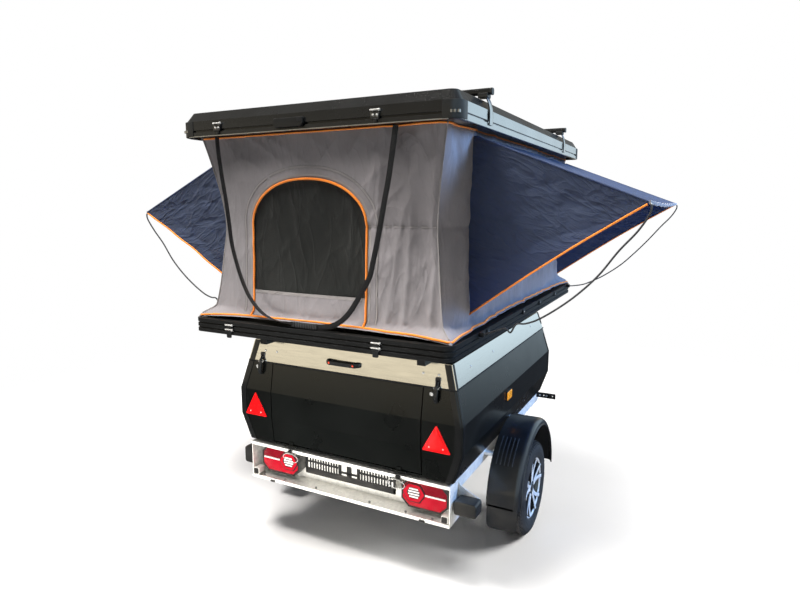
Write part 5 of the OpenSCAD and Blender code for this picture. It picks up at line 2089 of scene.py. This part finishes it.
    def shell(self) -> None:
        """Builds the roof shell's corners, latches, pull handle and bright edge strips."""
        dress(Finishes.shell, "roof_shell")
        box = Extent.of("roof_shell")
        low, high = box.lo.z, Extent.of("shell_latches").hi.z + 0.003
        corners = Piece("shell_corner_mouldings", "roof")
        self.corner(corners, box, 0.045, low + 0.001, high, 0.026)
        corners.finish()
        latches = Piece("shell_draw_latches", "roof", ["shell_latches"])
        y = box.lo.y
        for x in (-0.480, 0.350):
            self.latch(latches, x, y, low + 0.006, high - 0.003, single=True)
        grip = [(-0.15, 2.186), (0.006, 2.186), (0.006, 2.160), (-0.006, 2.147), (-0.138, 2.147),
                (-0.15, 2.160)]
        latches.prism(rounded(grip, 0.005), Axis.Y, y - 0.0145, y + 0.002, Finishes.rail, 0.003, 3)
        mark = rounded(rectangle(0.024, 0.016, -0.012, 2.176), 0.003)
        latches.prism(mark, Axis.Y, y - 0.0155, y - 0.01, Finishes.seal)
        latches.block((-box.hi.x + 0.045, y - 0.0022, low - 0.001),
                      (box.hi.x - 0.045, y + 0.004, low + 0.0035), Finishes.zinc, 0.0008)
        for side in Side:
            x0, x1 = side.span(box.hi.x - 0.004, box.hi.x + 0.0022)
            latches.block((x0, box.lo.y + 0.045, low - 0.001), (x1, box.hi.y - 0.045, low + 0.0035),
                          Finishes.zinc, 0.0008)
            for k in range(3):
                a = side.value * (box.hi.x - 0.034 + 0.013 * k)
                depth = y + (0.0, 0.003, 0.010)[k]
                latches.block((a - 0.0038, depth - 0.0032, low + 0.022),
                              (a + 0.0038, depth + 0.012, low + 0.033), Finishes.zinc, 0.001)
        latches.finish()

    def bars(self) -> None:
        """Builds the load bars with their feet, rubber strips and end caps."""
        box = Extent.of("roof_bars")
        shell = Extent.of("roof_shell")
        piece = Piece("roof_load_bars", "roof", ["roof_bars"])
        z, r = box.hi.z - 0.015, 0.0125
        for y in (box.lo.y + 0.015, box.hi.y - 0.015):
            half = box.hi.x - 0.004
            piece.sweep([Vector((x, y, z)) for x in (-half, -half / 2, 0.0, half / 2, half)],
                        rounded(rectangle(0.03, 0.026), 0.011, 6), Finishes.profile, wide=(0, 1, 0))
            piece.block((-half + 0.01, y - 0.0045, z + r - 0.002), (half - 0.01, y + 0.0045, z + r + 0.002),
                        Finishes.seal, 0.001)
            for side in Side:
                s = side.value
                x0, x1 = side.span(half - 0.006, half + 0.004)
                piece.prism(rounded(rectangle(0.031, 0.028, y, z), 0.01), Axis.X, x0, x1,
                            Finishes.plastic, 0.0022)
                leg = [Vector((s * x, y, h)) for x, h in (
                    (box.hi.x - 0.034, z - 0.008), (box.hi.x - 0.016, shell.hi.z - 0.006),
                    (shell.hi.x + 0.0035, shell.hi.z - 0.045), (shell.hi.x + 0.0035, shell.lo.z + 0.012))]
                # The legs wear the shell finish, so their X-facing faces carry its painted reflection.
                piece.sweep(smooth_path(leg, 5), rounded(rectangle(0.042, 0.005), 0.002, 3), Finishes.shell,
                            wide=(0, 1, 0))
                x0, x1 = side.span(box.hi.x - 0.06, box.hi.x - 0.016)
                piece.block((x0, y - 0.022, z - 0.026), (x1, y + 0.022, z - 0.006),
                            Finishes.plastic, 0.005, 3)
        piece.finish()

    def build(self) -> None:
        """Builds the tray's and the shell's details."""
        self.tray()
        self.shell()
        self.bars()


# ---- Tent cloth -----------------------------------------------------------------------------


class Wall(Enum):
    """The four cloth walls; the value is the direction that each faces."""

    REAR = (0, -1)
    FRONT = (0, 1)
    LEFT = (-1, 0)
    RIGHT = (1, 0)


@dataclass
class TentCloth:
    """The tent's walls, door, nets, piping and seams, all hung between tray and shell."""

    half_wide: float = 0.636
    foot: float = 1.2725
    head: float = 2.153
    mesh_sill: float = 1.42
    door_mid: float = -0.05
    door_half: float = 0.312
    door_spring: float = 1.73
    door_rise: float = 0.205
    cloth: float = 0.0016
    hem_wave: float = 0.022
    seam_z: float = 1.73
    window_ends: Pair = (-0.68, 0.62)
    window_tall: float = 0.5
    door_area: float = 0.29
    window_area: float = 0.65
    turned_in: float = 0.02
    waist: Sequence[Pair] = (
        (1.272, 0.680), (1.290, 0.668), (1.315, 0.630), (1.337, 0.614), (1.45, 0.596), (1.59, 0.581),
        (1.72, 0.569), (1.86, 0.581), (2.0, 0.606), (2.11, 0.629), (2.153, 0.640),
    )

    def __post_init__(self) -> None:
        """Smooths the waist line and reads the walls' length."""
        curve = smooth_path([(z, h, 0.0) for z, h in self.waist], 6)
        self.line = [(p.x, p.y) for p in curve]
        rear, front = Extent.of("tent_wall_rear"), Extent.of("tent_wall_front")
        self.mid_y = (rear.mid.y + front.mid.y) / 2
        self.half_long = (front.mid.y - rear.mid.y) / 2

    def half_of(self, wall: Wall) -> float:
        """Half the length of a wall."""
        return self.half_wide if wall in (Wall.REAR, Wall.FRONT) else self.half_long

    def pull(self, z: float, t: float, end: bool) -> float:
        """How far a wall hangs inside its upright plane, at a height and a share t of its half width."""
        deep = self.half_wide - at_height(self.line, z)
        if deep < 0:
            return deep
        return deep * (0.35 + 0.65 * abs(t) ** 4 if end else 0.15 + 0.85 * abs(t) ** 12)

    def sag(self, wall: Wall, t: float, z: float) -> float:
        """How far folds and creases push the cloth out.

        Args:
            wall: Which wall.
            t: Place along it, -1 to 1.
            z: Height.

        Returns:
            The distance, positive outwards.
        """
        seed = 7.3 * list(Wall).index(wall)
        a = t * self.half_of(wall)
        gate = smoothstep(0.0, 0.03, z - self.foot) * smoothstep(0.0, 0.02, self.head - z)
        edge = smoothstep(1.0, 0.955, abs(t))
        flank = smoothstep(0.40, 0.56, t) if wall is Wall.REAR else 0.8
        out = 0.012 * ripple(a * 1.7, z * 1.2, seed) + 0.003 * ripple(a * 5.0, z * 2.4, seed + 2.0)
        out += 0.011 * flank * ripple(a * 9.0 + z * 1.4, z * 1.3, seed + 4.0)
        out += 0.011 * flank * crease(a * 7.0 - z * 0.8, z * 1.1, seed + 6.0)
        for turn, gain in ((0.9, 0.006), (-0.85, 0.005), (0.25, 0.004)):
            b = a * math.cos(turn) + z * math.sin(turn)
            c = -a * math.sin(turn) + z * math.cos(turn)
            patch = max(ripple(a * 1.9, z * 2.1, seed + 5 + turn), 0.0)
            out += gain * crease(b * 9.0, c * 1.8, seed + turn) * (0.15 + 1.2 * patch + 0.5 * flank)
        left = smoothstep(-0.66, -0.85, t)
        out += 0.005 * left * ripple(a * 14.0, z * 1.8, seed + 3.0)
        crown = smoothstep(2.02, 2.13, z)
        out += 0.003 * crown * ripple(a * 16.0, z * 2.0, seed + 8.0)
        hem = smoothstep(1.37, 1.31, z)
        out += 0.004 * hem * ripple(a * 12.0, z * 3.0, seed + 9.0)
        seam = math.exp(-(((z - self.seam_z) / 0.011) ** 2))
        if wall is not Wall.REAR or t > 0.42:
            near = math.exp(-(((z - self.seam_z) / 0.03) ** 2))
            out += (-0.004 * seam + 0.0022 * near
                    * math.sin(a * math.tau / 0.021 + 2.0 * ripple(a * 9.0, 4.0, seed)))
        return out * gate * edge

    def at(self, wall: Wall, t: float, z: float, off: float = 0.0) -> Vector:
        """A point on a wall.

        Args:
            wall: Which wall.
            t: Place along it, -1 to 1 in the direction of growing X or Y.
            z: Height.
            off: Distance outside the cloth.

        Returns:
            The point.
        """
        x_out, y_out = wall.value
        full = self.half_wide - at_height(self.line, z)
        depth = self.pull(z, t, bool(y_out)) - self.sag(wall, t, z) - off
        if y_out:
            return Vector((t * (self.half_wide - full), self.mid_y + y_out * (self.half_long - depth), z))
        return Vector((x_out * (self.half_wide - depth), self.mid_y + t * (self.half_long - full), z))

    def side_point(self, side: Side, y: float, z: float) -> Vector:
        """The point of a side wall at a given Y and height."""
        full = self.half_wide - at_height(self.line, z)
        t = (y - self.mid_y) / (self.half_long - full)
        spot = self.at(Wall.RIGHT if side is Side.RIGHT else Wall.LEFT, min(max(t, -1.0), 1.0), z, 0.001)
        return Vector((spot.x, y, z))

    def door_line(self, grow: float = 0.0, low: float | None = None, steps: int = 36) -> list[Pair]:
        """The doorway's outline in X and Z, up the left side, over the arch and down the right.

        Args:
            grow: How far outside the doorway it runs.
            low: Height of its two lower ends.
            steps: Steps in the arch.

        Returns:
            The outline's points.
        """
        low = self.mesh_sill if low is None else low
        half, rise = self.door_half + grow, self.door_rise + grow
        out = [(self.door_mid - half, low + (self.door_spring - low) * k / 20) for k in range(20)]
        for k in range(steps + 1):
            t = math.pi * (1 - k / steps)
            wide = math.copysign(abs(math.cos(t)) ** 0.92, math.cos(t))
            out.append((self.door_mid + half * wide, self.door_spring + rise * math.sin(t)))
        out += [(self.door_mid + half, self.door_spring + (low - self.door_spring) * k / 20)
                for k in range(1, 21)]
        return out

    def on_rear(self, line: Sequence[Pair], off: float) -> Path:
        """Lays a line of X and Z on the rear wall, at a distance outside the cloth."""
        return [self.at(Wall.REAR, x / at_height(self.line, z), z, off) for x, z in line]

    def hem_lift(self, wall: Wall, t: float) -> float:
        """How far the hem hangs above the tray's edge at a share t of a wall."""
        wave = ripple(t * self.half_of(wall) * 2.2, 3.0, 9.0 + sum(wall.value))
        return self.hem_wave * (1 - abs(t) ** 4) * (1 + 0.25 * wave)

    def sheet_on(
        self, wall: Wall, name: str, node: str, cell: float, opening: Sequence[Pair] | None
    ) -> Item:
        """Makes one wall's cloth, with an opening cut clean along its outline.

        Args:
            wall: Which wall.
            name: Name of the piece.
            node: CAD node that it stands for.
            cell: Width of its cells.
            opening: Outline of the opening, as distance along the wall and height.

        Returns:
            The finished object.
        """
        end = wall in (Wall.REAR, Wall.FRONT)
        long = 2 * self.half_of(wall)
        columns, rows = round(long / cell), round((self.head - self.foot) / 0.0095)
        ts = [-1 + 2 * i / columns for i in range(columns + 1)]
        zs = [self.foot + (self.head - self.foot) * j / rows for j in range(rows + 1)]
        part = bmesh.new()
        layer = part.loops.layers.uv.new("UVMap")
        made: dict[tuple[int, int], Vert] = {}
        flat: dict[Vert, Pair] = {}
        scale = (lambda z: at_height(self.line, z)) if end else (lambda z: self.half_long)

        def inside(q: Pair) -> bool:
            hit = False
            ring = opening or []
            for (x0, z0), (x1, z1) in zip(ring, [*ring[1:], *ring[:1]]):
                if (z0 > q[1]) != (z1 > q[1]) and q[0] < (x1 - x0) * (q[1] - z0) / (z1 - z0) + x0:
                    hit = not hit
            return hit

        def nearest(q: Pair) -> Pair:
            best, found = 1e9, q
            for a, b in zip(opening, [*opening[1:], opening[0]]):
                run = (b[0] - a[0], b[1] - a[1])
                size = run[0] ** 2 + run[1] ** 2
                share = min(max(((q[0] - a[0]) * run[0] + (q[1] - a[1]) * run[1]) / max(size, 1e-12), 0), 1)
                spot = (a[0] + run[0] * share, a[1] + run[1] * share)
                far = math.dist(spot, q)
                if far < best:
                    best, found = far, spot
            return found

        places = {(i, j): (ts[i] * scale(zs[j]), zs[j]) for i in range(columns + 1) for j in range(rows + 1)}
        within = {key: inside(q) for key, q in places.items()} if opening else {}

        def vert(i: int, j: int) -> Vert:
            if (i, j) not in made:
                q = places[i, j]
                if within.get((i, j)):
                    q = nearest(q)
                t = q[0] / scale(q[1])
                lift = self.hem_lift(wall, t) * smoothstep(self.foot + 0.08, self.foot, q[1])
                made[i, j] = part.verts.new(self.at(wall, t, q[1] + lift))
                flat[made[i, j]] = q
            return made[i, j]

        for i in range(columns):
            for j in range(rows):
                keys = ((i, j), (i + 1, j), (i + 1, j + 1), (i, j + 1))
                if opening and all(within[k] for k in keys):
                    continue
                face = part.faces.new([vert(*k) for k in keys])
                for loop in face.loops:
                    loop[layer].uv = flat[loop.vert]
        return self.hang(part, name, Finishes.canvas, [node])

    def hang(
        self, part: Shell, name: str, finish: Finish, nodes: Sequence[str] = (), thick: float | None = None
    ) -> Item:
        """Thickens an open surface and makes it a piece that rides on the lid.

        Args:
            part: The surface.
            name: Name of the piece.
            finish: Its finish.
            nodes: CAD nodes that it stands for.
            thick: Its thickness, the cloth's own if absent.

        Returns:
            The finished object.
        """
        for face in list(part.faces):
            if face.calc_area() < 1e-9:
                part.faces.remove(face)
        bmesh.ops.recalc_face_normals(part, faces=part.faces)
        holder = link("flat_cloth", mesh_of(name, part))
        change = holder.modifiers.new("thickness", "SOLIDIFY")
        change.thickness = thick or self.cloth
        change.offset = 0.0
        return settle(name, freeze(holder, name), [finish], "lid", nodes, 80.0)

    @staticmethod
    def soften(piece: Item) -> None:
        """Gives a finished piece its own copy of its mesh."""
        Extent.of("tent_tray").hi.z
        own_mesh(piece)

    def net_panel(self, wall: Wall, name: str, outline: Sequence[Pair], nodes: Sequence[str],
                  bulge: float) -> None:
        """Makes a net that fills an opening from behind.

        Args:
            wall: Which wall.
            name: Name of the piece.
            outline: The opening's outline, symmetric about its middle, as along and height.
            nodes: CAD nodes that it stands for.
            bulge: How far it billows inwards.
        """
        xs, zs = [q[0] for q in outline], [q[1] for q in outline]
        mid, low, high = (min(xs) + max(xs)) / 2, min(zs), max(zs)
        half_line = sorted({round(z, 5): max(x - mid for x, h in outline if abs(h - z) < 1e-5)
                            for z in zs}.items())
        part = bmesh.new()
        part.loops.layers.uv.new("UVMap")
        end = wall in (Wall.REAR, Wall.FRONT)
        rows, columns = 56, 44
        grid: list[list[Vert]] = []
        flat: dict[Vert, Pair] = {}
        for j in range(rows + 1):
            z = low - 0.008 + (high - low + 0.012) * j / rows
            half = max(at_height(half_line, z), 0.03) + 0.008
            row = []
            for i in range(columns + 1):
                t = -1 + 2 * i / columns
                a = mid + t * half
                share = a / (at_height(self.line, z) if end else self.half_long)
                deep = bulge * (1 - t * t) * math.sin(math.pi * min(max((z - low) / (high - low), 0), 1))
                deep += 0.006 * ripple(a * 7, z * 4, 1.0) * (1 - t**4)
                row.append(part.verts.new(self.at(wall, share, z, -0.004 - deep)))
                flat[row[-1]] = (a, z)
            grid.append(row)
        tile(part, grid, flat)
        # The opaque dark net also paints the shade of the tent's inside behind it.
        net = self.hang(part, name, Finishes.net, nodes, 0.001)
        self.soften(net)

    def loop_at(self, z: float, off: float, hem: bool = False, step: float = 0.02) -> Path:
        """Runs once round the tent at a height.

        Args:
            z: The height.
            off: Distance outside the cloth.
            hem: True if it follows the hem's wave.
            step: Distance between its points.

        Returns:
            The loop's points.
        """
        path: Path = []
        for wall, way in ((Wall.REAR, 1), (Wall.RIGHT, 1), (Wall.FRONT, -1), (Wall.LEFT, -1)):
            n = round(2 * self.half_of(wall) / step)
            for k in range(n):
                t = way * (-1 + 2 * (k + 0.5) / n)
                lift = self.hem_lift(wall, t) if hem else 0.0
                path.append(self.at(wall, t, z + lift, off))
        return path

    def stitches(self, name: str, path: Sequence[Vector], facing: Vector, apart: float,
                 gap: float = 0.0065) -> None:
        """Sews two rows of stitches beside a line.

        Args:
            name: Name of the piece.
            path: The line.
            facing: Way that the cloth faces.
            apart: Distance between the rows.
            gap: Distance from stitch to stitch.
        """
        spots = []
        reach, due = 0.0, 0.0
        for a, b in zip(path, path[1:]):
            run = b - a
            while due < reach + run.length:
                at = a + run * ((due - reach) / run.length)
                across = facing.cross(run.normalized())
                for sign in (-1, 1):
                    spots.append(Spot(at + across * sign * apart / 2 + facing * 0.0009, facing,
                                      run.normalized()))
                due += gap
            reach += run.length
        self.soften(Repeater.place(name, brick_unit(0.0042, 0.0011, 0.0007, 0.8), spots,
                                   Finishes.seam, "lid"))

    def trims(self) -> None:
        """Adds the piping, seam tapes, corner welts and stitches."""
        door = self.on_rear(self.door_line(0.0, 1.300), 0.0035)
        piece = Piece("orange_piping_cords", "lid")
        piece.sweep(door, ellipse(0.0115, 0.0105, 10), Finishes.piping)
        piece.sweep(self.loop_at(1.281, 0.002, hem=True), ellipse(0.0095, 0.0095, 8), Finishes.piping,
                    closed=True)
        piece.sweep(self.loop_at(2.1315, 0.003), ellipse(0.009, 0.009, 8), Finishes.piping, closed=True)
        self.soften(piece.finish(smooth=60))
        tapes = Piece("seam_tapes", "lid")
        outer = self.on_rear(self.door_line(0.052, 1.315), 0.0012)
        tapes.sweep(outer, rectangle(0.0018, 0.007), Finishes.canvas_trim, wide=(0, 1, 0))
        inner = self.on_rear(self.door_line(0.016, 1.315), 0.001)
        tapes.sweep(inner, rectangle(0.0014, 0.010), Finishes.canvas_trim, wide=(0, 1, 0))
        wide = at_height(self.line, self.mesh_sill)
        sill = [self.at(Wall.REAR, (self.door_mid + self.door_half * k / 20) / wide,
                        self.mesh_sill - 0.004, 0.0012)
                for k in range(-20, 21)]
        tapes.sweep(sill, rectangle(0.0018, 0.014), Finishes.canvas_trim, wide=(0, 1, 0))
        for side in Side:
            for wall in (Wall.REAR, Wall.FRONT):
                welt = [self.at(wall, side.value, z, 0.0015) for z in
                        (self.foot + 0.02 + (self.head - self.foot - 0.04) * k / 70 for k in range(71))]
                tapes.sweep(welt, ellipse(0.007, 0.007, 7), Finishes.canvas_trim)
        cross = [self.at(Wall.REAR, 0.45 + 0.54 * k / 24, self.seam_z, 0.0012) for k in range(25)]
        tapes.sweep(cross, rectangle(0.0016, 0.006), Finishes.canvas_trim, wide=(0, 1, 0))
        self.soften(tapes.finish(smooth=60))
        self.stitches("door_seam_stitches", outer, REARWARD, 0.012)
        self.stitches("cross_seam_stitches", cross, REARWARD, 0.010)

    def build(self) -> None:
        """Builds the tent's cloth."""
        low_y, high_y = self.window_ends
        window = rounded(rectangle(high_y - low_y, self.window_tall, (low_y + high_y) / 2, self.seam_z),
                         0.05, 6)
        jobs = (
            (Wall.REAR, "tent_cloth_rear", "tent_wall_rear", 0.008, self.door_line()),
            (Wall.FRONT, "tent_cloth_front", "tent_wall_front", 0.022, None),
            (Wall.LEFT, "tent_cloth_left", "tent_wall_left", 0.022, window),
            (Wall.RIGHT, "tent_cloth_right", "tent_wall_right", 0.018, window),
        )
        for wall, name, node, cell, opening in jobs:
            cloth = self.sheet_on(wall, name, node, cell, opening)
            self.soften(cloth)
            long, tall = 2 * self.half_of(wall), self.head - self.foot + self.turned_in
            area = long * tall - (self.door_area if wall is Wall.REAR else 0.0)
            area -= self.window_area if opening is window else 0.0
        self.net_panel(Wall.REAR, "door_net", self.door_line(), ["tent_door"], 0.012)
        for wall in (Wall.LEFT, Wall.RIGHT):
            self.net_panel(wall, f"window_net_{wall.name.lower()}", window, [], 0.01)
        self.trims()


# ---- Awnings, rods and strap ----------------------------------------------------------------


@dataclass
class Awnings:
    """The two side awnings with their gussets, piping, sprung rods and hooks."""

    tent: TentCloth
    wall_x: float = 0.640
    wall_top: float = 2.108
    wall_low: float = 1.346
    outer_x: float = 1.347
    outer_z: float = 1.829
    back: float = 0.060
    front: float = 1.850
    outer_back: float = 0.045
    outer_front: float = 2.052
    left_drop: float = 0.050
    rod: float = 0.0078
    flat: Pair = (3.3, 0.78)
    area: float = 1.95

    def corner(self, side: Side, outer: bool, rear: bool) -> Vector:
        """One upper corner of an awning.

        Args:
            side: Which awning.
            outer: True for the outer edge.
            rear: True for the rear end.

        Returns:
            The corner point.
        """
        drop = self.left_drop if side is Side.LEFT and outer else 0.0
        x = self.outer_x if outer else self.wall_x
        z = self.outer_z - drop if outer else self.wall_top
        y = (self.outer_back if outer else self.back) if rear else (self.outer_front if outer else self.front)
        return Vector((side.value * x, y + REAR_Y, z))

    def roof_at(self, side: Side, s: float, t: float) -> Vector:
        """A point of the awning's top, at share s from rear to front and t from wall to edge."""
        a = self.corner(side, False, True).lerp(self.corner(side, False, False), s)
        a = self.tent.side_point(side, a.y, a.z)
        b = self.corner(side, True, True).lerp(self.corner(side, True, False), s)
        spot = a.lerp(b, t)
        bow = math.sin(math.pi * s)
        inner = bow * math.sin(math.pi * min(t, 1.0) * 0.5)
        spot.z -= 0.030 * bow * math.sin(math.pi * t) + 0.010 * bow * t
        fold = crease(s * 5.0 + t * 2.0, t * 3.0 - s * 3.0, 2.0 + side.value) - crease(s * 7.0, t * 2.0, 5.0)
        spot.z += 0.006 * fold * min(inner * 3, 1.0) * smoothstep(1.0, 0.9, t)
        spot.z += 0.0035 * math.sin(s * 60 + 4 * ripple(s * 4, t * 2, 3)) * t**3 * bow
        return spot

    def gusset_at(self, side: Side, rear: bool, s: float, t: float) -> Vector:
        """A point of a gusset, at share s from its upper edge to its hem and t from wall to corner."""
        top = self.corner(side, False, rear)
        low = Vector((top.x, top.y, self.wall_low))
        tip = self.corner(side, True, rear)
        foot = top.lerp(low, s)
        spot = self.tent.side_point(side, foot.y, foot.z).lerp(tip, t)
        way = -1 if rear else 1
        open_share = (1 - t) * math.sin(math.pi * s)
        deep = 0.010 * open_share * math.sin(math.pi * t) * 2
        for turn, gain in ((0.55, 0.004), (1.15, 0.003), (-0.3, 0.003)):
            b = s * (1 - t) * math.cos(turn) + t * math.sin(turn)
            c = t * math.cos(turn) - s * (1 - t) * math.sin(turn)
            deep += gain * crease(b * 8.0, c * 2.2, turn + side.value + way) * min(open_share * 3, 1)
        edge = s**6 * math.sin(math.pi * t)
        spot.y -= way * deep
        spot.y += way * 0.004 * edge * math.sin(t * 22)
        spot.z += 0.020 * edge
        spot.x += side.value * 0.010 * edge
        return spot

    def cloth(self, side: Side) -> None:
        """Makes one awning's sheet with its hem and piping.

        Args:
            side: Which awning.
        """
        part = bmesh.new()
        part.loops.layers.uv.new("UVMap")
        flat: dict[Vert, Pair] = {}

        def lay(
            columns: int, rows: int, at: Callable[[float, float], Vector], uv: Callable[[float, float], Pair]
        ) -> None:
            grid = []
            for j in range(rows + 1):
                row = []
                for i in range(columns + 1):
                    vertex = part.verts.new(at(i / columns, j / rows))
                    flat[vertex] = uv(i / columns, j / rows)
                    row.append(vertex)
                grid.append(row)
            tile(part, grid, flat)

        lay(110, 46, lambda s, t: self.roof_at(side, s, t), lambda s, t: (s * 1.9, t * 0.76))
        for rear in (True, False):
            lay(58, 58, lambda s, t, rear=rear: self.gusset_at(side, rear, s, t * 0.992),
                lambda s, t: (2.2 + s * 0.76 * (1 - t), t * 0.76))
        bmesh.ops.remove_doubles(part, verts=part.verts, dist=0.0004)
        word = side.word
        cloth = self.tent.hang(part, f"awning_cloth_{word}", Finishes.awning, [f"awning_{word}"])
        self.tent.soften(cloth)
        trims = Piece(f"awning_trims_{word}", "lid")
        for rear in (True, False):
            hem = [self.gusset_at(side, rear, 1.0, k / 50 * 0.985) for k in range(51)]
            trims.sweep(hem, ellipse(0.008, 0.008, 8), Finishes.piping)
            edge = [self.gusset_at(side, rear, 0.0, 0.02 + k / 50 * 0.965) + Vector((0, 0, 0.001))
                    for k in range(51)]
            trims.sweep(edge, ellipse(0.007, 0.005, 8), Finishes.awning)
        outer = [self.roof_at(side, k / 80, 0.997) for k in range(81)]
        trims.sweep(outer, rounded(rectangle(0.016, 0.0045), 0.002, 2), Finishes.canvas_trim, wide=(0, 0, 1))
        self.tent.soften(trims.finish(smooth=60))

    def rods(self, side: Side) -> None:
        """Makes the two sprung rods of an awning, with their foot sockets and hooks.

        Args:
            side: Which awning.
        """
        routes = (
            ((0.704, 0.060, 1.262), (0.770, 0.060, 1.288), (0.806, 0.060, 1.300), (0.828, 0.060, 1.284),
             (0.852, 0.060, 1.322), (0.890, 0.060, 1.328), (0.943, 0.060, 1.350), (1.020, 0.060, 1.402),
             (1.098, 0.060, 1.467), (1.175, 0.060, 1.548), (1.244, 0.060, 1.645), (1.308, 0.058, 1.722),
             (1.348, 0.050, 1.790), (1.3505, 0.048, 1.822)),
            ((0.704, 1.850, 1.262), (0.740, 1.866, 1.264), (0.800, 1.890, 1.275), (0.860, 1.914, 1.302),
             (0.930, 1.944, 1.342), (1.024, 1.980, 1.412), (1.100, 2.004, 1.488), (1.180, 2.026, 1.578),
             (1.262, 2.040, 1.680), (1.318, 2.046, 1.745), (1.348, 2.050, 1.796), (1.3505, 2.052, 1.822)),
        )
        drop = self.left_drop if side is Side.LEFT else 0.0
        piece = Piece(f"awning_rods_{side.word}_sprung", "lid", [f"awning_rods_{side.word}"])
        for route in routes:
            first, last = route[0][0], route[-1][0]
            points = [(side.value * x, y + REAR_Y, z - drop * (x - first) / (last - first))
                      for x, y, z in route]
            path = smooth_path(points, 6)
            piece.sweep(path, ellipse(self.rod, self.rod, 10), Finishes.rod)
            tip = path[-1]
            hook = [tip, tip + Vector((-side.value * 0.002, 0, 0.004)),
                    tip + Vector((-side.value * 0.010, 0, 0.006)),
                    tip + Vector((-side.value * 0.018, 0, 0.001))]
            piece.sweep(smooth_path(hook, 4), ellipse(0.0055, 0.0055, 8), Finishes.bright)
            x0, x1 = side.span(0.692, 0.712)
            at = points[0]
            piece.prism(rounded(rectangle(0.022, 0.022, at[1], at[2]), 0.006), Axis.X, x0, x1,
                        Finishes.plastic, 0.002)
        self.tent.soften(piece.finish(smooth=60))

    def build(self) -> None:
        """Builds both awnings."""
        for side in Side:
            self.rods(side)
            self.cloth(side)


@dataclass
class PullStrap:
    """Webbing loop that pulls the roof shell down."""

    width: float = 0.024
    thick: float = 0.0032
    grip: Pair = (-0.105, 0.045)
    left_face: Triple = (1.0, 0.0, 0.0)
    right_face: Triple = (0.05, -1.0, 0.0)
    route: Sequence[Triple] = (
        (-0.500, -1.530, 2.128), (-0.496, -1.528, 2.050), (-0.484, -1.526, 1.950), (-0.468, -1.525, 1.850),
        (-0.455, -1.524, 1.745), (-0.444, -1.524, 1.645), (-0.420, -1.524, 1.555), (-0.388, -1.525, 1.470),
        (-0.350, -1.526, 1.400), (-0.305, -1.527, 1.350), (-0.260, -1.528, 1.318), (-0.205, -1.530, 1.300),
        (-0.140, -1.532, 1.291), (-0.060, -1.533, 1.288), (0.020, -1.533, 1.288), (0.090, -1.532, 1.293),
        (0.134, -1.530, 1.306), (0.176, -1.528, 1.333), (0.210, -1.527, 1.368), (0.241, -1.526, 1.412),
        (0.273, -1.525, 1.464), (0.308, -1.524, 1.525), (0.325, -1.524, 1.590), (0.342, -1.524, 1.660),
        (0.360, -1.524, 1.740), (0.378, -1.524, 1.830), (0.398, -1.525, 1.920), (0.416, -1.527, 2.020),
        (0.434, -1.530, 2.128),
    )

    def build(self, tent: TentCloth) -> None:
        """Builds the strap as a free cord.

        Args:
            tent: The tent, whose soften step gives the strap its own mesh.
        """
        path = smooth_path(self.route, 6)
        piece = Piece("pull_strap_webbing", "lid", ["pull_strap"])
        a, b = (min(range(len(path)), key=lambda k: abs(path[k].x - x)) for x in self.grip)
        flat = rounded(rectangle(self.thick, self.width), 0.0012, 2)
        left, right = Vector(self.left_face), Vector(self.right_face)
        piece.sweep(path[: a + 3], flat, Finishes.webbing, wide=left)
        piece.sweep(path[b - 2 :], flat, Finishes.webbing, wide=right)
        sleeve = path[a : b + 1]
        way = (left + right).normalized()
        piece.sweep(sleeve, rounded(rectangle(self.thick + 0.005, self.width), 0.004, 3),
                    Finishes.plastic, wide=way)
        for k in range(1, len(sleeve) - 1):
            piece.sweep([sleeve[k].lerp(sleeve[k + 1], t) for t in (0.0, 0.25, 0.5)],
                        rounded(rectangle(self.thick + 0.008, self.width + 0.003), 0.004, 3),
                        Finishes.rod, wide=way)
        strap = piece.finish(smooth=50)
        tent.soften(strap)


# ---- Whole scene ----------------------------------------------------------------------------


def main() -> None:
    """Builds the studio and every sub-assembly, in order."""
    logging.basicConfig(level=logging.INFO, format="%(message)s")
    Studio().build()
    faces = Faces()
    BoxBody(faces).build()
    RearCarrier(faces).build()
    SideFittings(faces).build()
    RunningGear().build()
    DrawGear().build()
    HardShells().build()
    tent = TentCloth()
    tent.build()
    Awnings(tent).build()
    PullStrap().build(tent)


if __name__ == "__main__":
    main()
